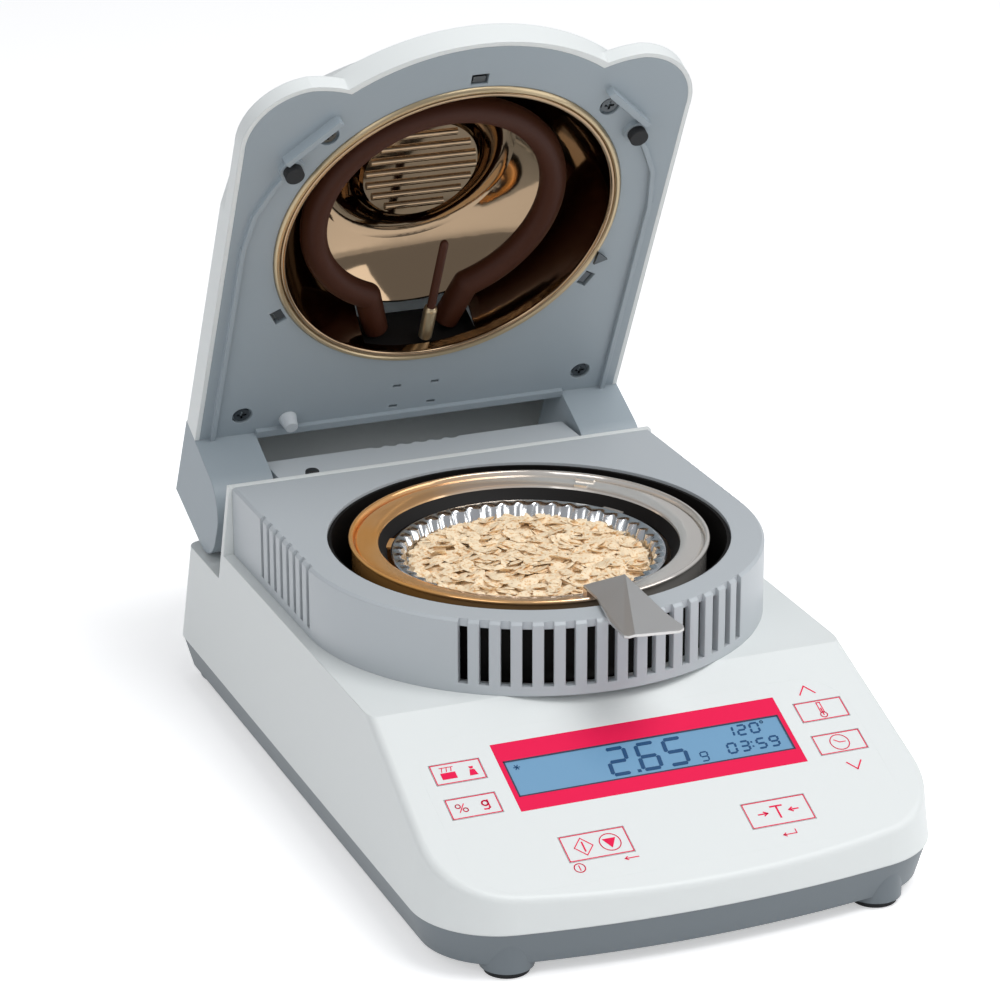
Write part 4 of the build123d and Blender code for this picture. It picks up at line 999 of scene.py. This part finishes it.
def film_strip():
    """A narrow strip of film that covers the line of the overlay's own outline."""
    inner, outer = [], []
    for x, y, start in ((FILM_X, FILM_TOP, 0), (-FILM_X, FILM_TOP, 90),
                        (-FILM_X, FILM_LOW, 180), (FILM_X, FILM_LOW, 270)):
        inner += arc_points(x, y, STRIP_IN, start, start + 90, 10)
        outer += arc_points(x, y, STRIP_OUT, start, start + 90, 10)
    inner.append(inner[0])
    outer.append(outer[0])
    return [[inner[i], outer[i], outer[i + 1], inner[i + 1]] for i in range(len(inner) - 1)]


class ANALYZER_OT_panel(bpy.types.Operator):
    """Prints the key outlines and symbols and the display's digits"""

    bl_idname = "analyzer.panel"
    bl_label = "Panel print"

    def execute(self, context):
        line = context.scene.analyzer_sizes.print_line / MM
        for name, (x, y, w, h) in KEYS.items():
            a, b = w / 2 - KEY_MARGIN, h / 2 - KEY_MARGIN
            marks = line_mark(corners(-a, -b, a, b), line, close=True) + key_symbol(name, line)
            printed(name + "_print", moved(marks, x, y), "screen print crimson", name)
        printed("panel_print", loose_symbols(line), "screen print crimson", "base")
        printed("film_edge", film_strip(), "polyester film pale", "base",
                lift=STRIP_LIFT)
        box = corners(-DISPLAY_HALF, DISPLAY_LOW, DISPLAY_HALF, DISPLAY_TOP)
        printed("display_outline", line_mark(box, 0.5, close=True), "display outline", "base",
                lift=OUTLINE_LIFT)
        printed("display_digits", display_signs(), "display segments", "base",
                lift=DIGIT_LIFT)
        return {"FINISHED"}


# The photograph's camera, found from its straight and round edges: angles in degrees, place
# in mm from the chamber's centre at the block's top, focal length in the photograph's pixels
CAMERA_AZIMUTH, CAMERA_ELEVATION, CAMERA_ROLL = -21.85, 20.97, -0.11
CAMERA_PLACE = (-438.17, -1067.49, 453.51)
FOCAL_PIXELS, PHOTO_PIXELS = 3816.46, 1000
SENSOR_MM = 36


def add_camera(scene):
    """The camera that took the photograph."""
    azimuth, elevation = radians(CAMERA_AZIMUTH), radians(CAMERA_ELEVATION)
    roll = radians(CAMERA_ROLL)
    back = Vector((sin(azimuth) * cos(elevation), -cos(azimuth) * cos(elevation),
                   sin(elevation)))
    right = (-back).cross(Vector((0, 0, 1))).normalized()
    up = right.cross(-back)
    turned_right = right * cos(roll) + up * sin(roll)
    turned_up = up * cos(roll) - right * sin(roll)
    matrix = Matrix((turned_right, turned_up, back)).transposed().to_4x4()
    matrix.translation = Vector(CAMERA_PLACE) * MM + Vector((0, chamber_y, block_top))
    lens = bpy.data.cameras.new("photo_camera")
    lens.sensor_width = SENSOR_MM
    lens.sensor_fit = "HORIZONTAL"
    lens.lens = FOCAL_PIXELS / PHOTO_PIXELS * SENSOR_MM
    lens.clip_start, lens.clip_end = 0.05, 30
    camera = bpy.data.objects.new("photo_camera", lens)
    camera.matrix_world = matrix
    scene.collection.objects.link(camera)
    scene.camera = camera


def add_floor(scene):
    """Pale studio paper that glows a little where the camera sees it, and takes shadows."""
    floor_mat = bpy.data.materials.new("studio paper")
    floor_mat.use_nodes = True
    tree = floor_mat.node_tree
    tree.nodes.clear()
    path = add_node(tree, "ShaderNodeLightPath")
    seen = add_node(tree, "ShaderNodeMath", {"operation": "MAXIMUM"},
                    {0: path.outputs["Is Camera Ray"], 1: path.outputs["Is Glossy Ray"]})
    paper = add_node(tree, "ShaderNodeBsdfDiffuse", {"Color": (0.92, 0.92, 0.92, 1)})
    glow = add_node(tree, "ShaderNodeEmission", {"Color": (1, 1, 1, 1), "Strength": 0.45})
    both = add_node(tree, "ShaderNodeAddShader",
                    links={0: paper.outputs["BSDF"], 1: glow.outputs["Emission"]})
    mix = add_node(tree, "ShaderNodeMixShader",
                   links={0: seen.outputs["Value"], 1: paper.outputs["BSDF"],
                          2: both.outputs["Shader"]})
    add_node(tree, "ShaderNodeOutputMaterial", links={"Surface": mix.outputs["Shader"]})
    mesh = bpy.data.meshes.new("studio_floor")
    half = 4
    mesh.from_pydata([(x, y, 0) for x, y in corners(-half, -half, half, half)], [],
                     [(0, 1, 2, 3)])
    mesh.materials.append(floor_mat)
    floor = bpy.data.objects.new("studio_floor", mesh)
    scene.collection.objects.link(floor)


def add_world(scene):
    """A soft cool sky that the camera sees as plain white."""
    world = bpy.data.worlds.new("studio_world")
    scene.world = world
    world.use_nodes = True
    sky = world.node_tree
    sky.nodes.clear()
    path = add_node(sky, "ShaderNodeLightPath")
    seen = add_node(sky, "ShaderNodeMath", {"operation": "MAXIMUM"},
                    {0: path.outputs["Is Camera Ray"], 1: path.outputs["Is Transmission Ray"]})
    plain = add_node(sky, "ShaderNodeBackground",
                     {"Color": (0.93, 0.95, 1, 1), "Strength": 0.36})
    white = add_node(sky, "ShaderNodeBackground", {"Color": (1, 1, 1, 1), "Strength": 1.0})
    mix = add_node(sky, "ShaderNodeMixShader",
                   links={0: seen.outputs["Value"], 1: plain.outputs["Background"],
                          2: white.outputs["Background"]})
    add_node(sky, "ShaderNodeOutputWorld", links={"Surface": mix.outputs["Shader"]})


# Name, place in metres, power in watts and side of each softbox, and what they all face
SOFTBOXES = (
    ("key_softbox", (0.4, -0.45, 1.5), 12.5, 0.9),
    ("left_softbox", (-1.2, -0.8, 1.0), 5.5, 1.0),
    ("right_softbox", (1.3, -0.7, 0.8), 6.0, 1.0))
LIT_PLACE = Vector((0, 0, 0.1))


def add_softboxes(scene):
    """Square area lamps turned toward the analyzer."""
    for name, at, power, size in SOFTBOXES:
        lamp = bpy.data.lights.new(name, "AREA")
        lamp.energy = power
        lamp.size = size
        obj = bpy.data.objects.new(name, lamp)
        way = (LIT_PLACE - Vector(at)).normalized()
        turn = way.to_track_quat("-Z", "Y").to_matrix().to_4x4()
        obj.matrix_world = Matrix.Translation(at) @ turn
        scene.collection.objects.link(obj)


class ANALYZER_OT_stage(bpy.types.Operator):
    """Sets the camera, the soft lamps and the pale floor"""

    bl_idname = "analyzer.stage"
    bl_label = "Stage"

    def execute(self, context):
        scene = context.scene
        scene.view_settings.view_transform = "Standard"
        add_camera(scene)
        add_floor(scene)
        add_world(scene)
        add_softboxes(scene)
        return {"FINISHED"}


class ANALYZER_PT_panel(bpy.types.Panel):
    """Lists the analyzer's pieces, sizes and colours"""

    bl_idname = "ANALYZER_PT_panel"
    bl_label = "Moisture analyzer"
    bl_space_type = "VIEW_3D"
    bl_region_type = "UI"
    bl_category = "Analyzer"

    def draw(self, context):
        layout = self.layout
        for group in (context.scene.analyzer_sizes, context.scene.analyzer_colours):
            for key in group.__annotations__:
                layout.prop(group, key)
        for operator in OPERATORS:
            layout.operator(operator.bl_idname)


OPERATORS = (
    ANALYZER_OT_finishes, ANALYZER_OT_shield, ANALYZER_OT_handler, ANALYZER_OT_probe,
    ANALYZER_OT_pan, ANALYZER_OT_grain, ANALYZER_OT_reflector, ANALYZER_OT_panel,
    ANALYZER_OT_stage,
)
CLASSES = (AnalyzerSizes, AnalyzerColours, *OPERATORS, ANALYZER_PT_panel)


def register():
    for cls in CLASSES:
        bpy.utils.register_class(cls)
    bpy.types.Scene.analyzer_sizes = PointerProperty(type=AnalyzerSizes)
    bpy.types.Scene.analyzer_colours = PointerProperty(type=AnalyzerColours)


def unregister():
    del bpy.types.Scene.analyzer_sizes
    del bpy.types.Scene.analyzer_colours
    for cls in reversed(CLASSES):
        bpy.utils.unregister_class(cls)


def main():
    register()
    for operator in OPERATORS:
        group, _, name = operator.bl_idname.partition(".")
        getattr(getattr(bpy.ops, group), name)()


if __name__ == "__main__":
    main()
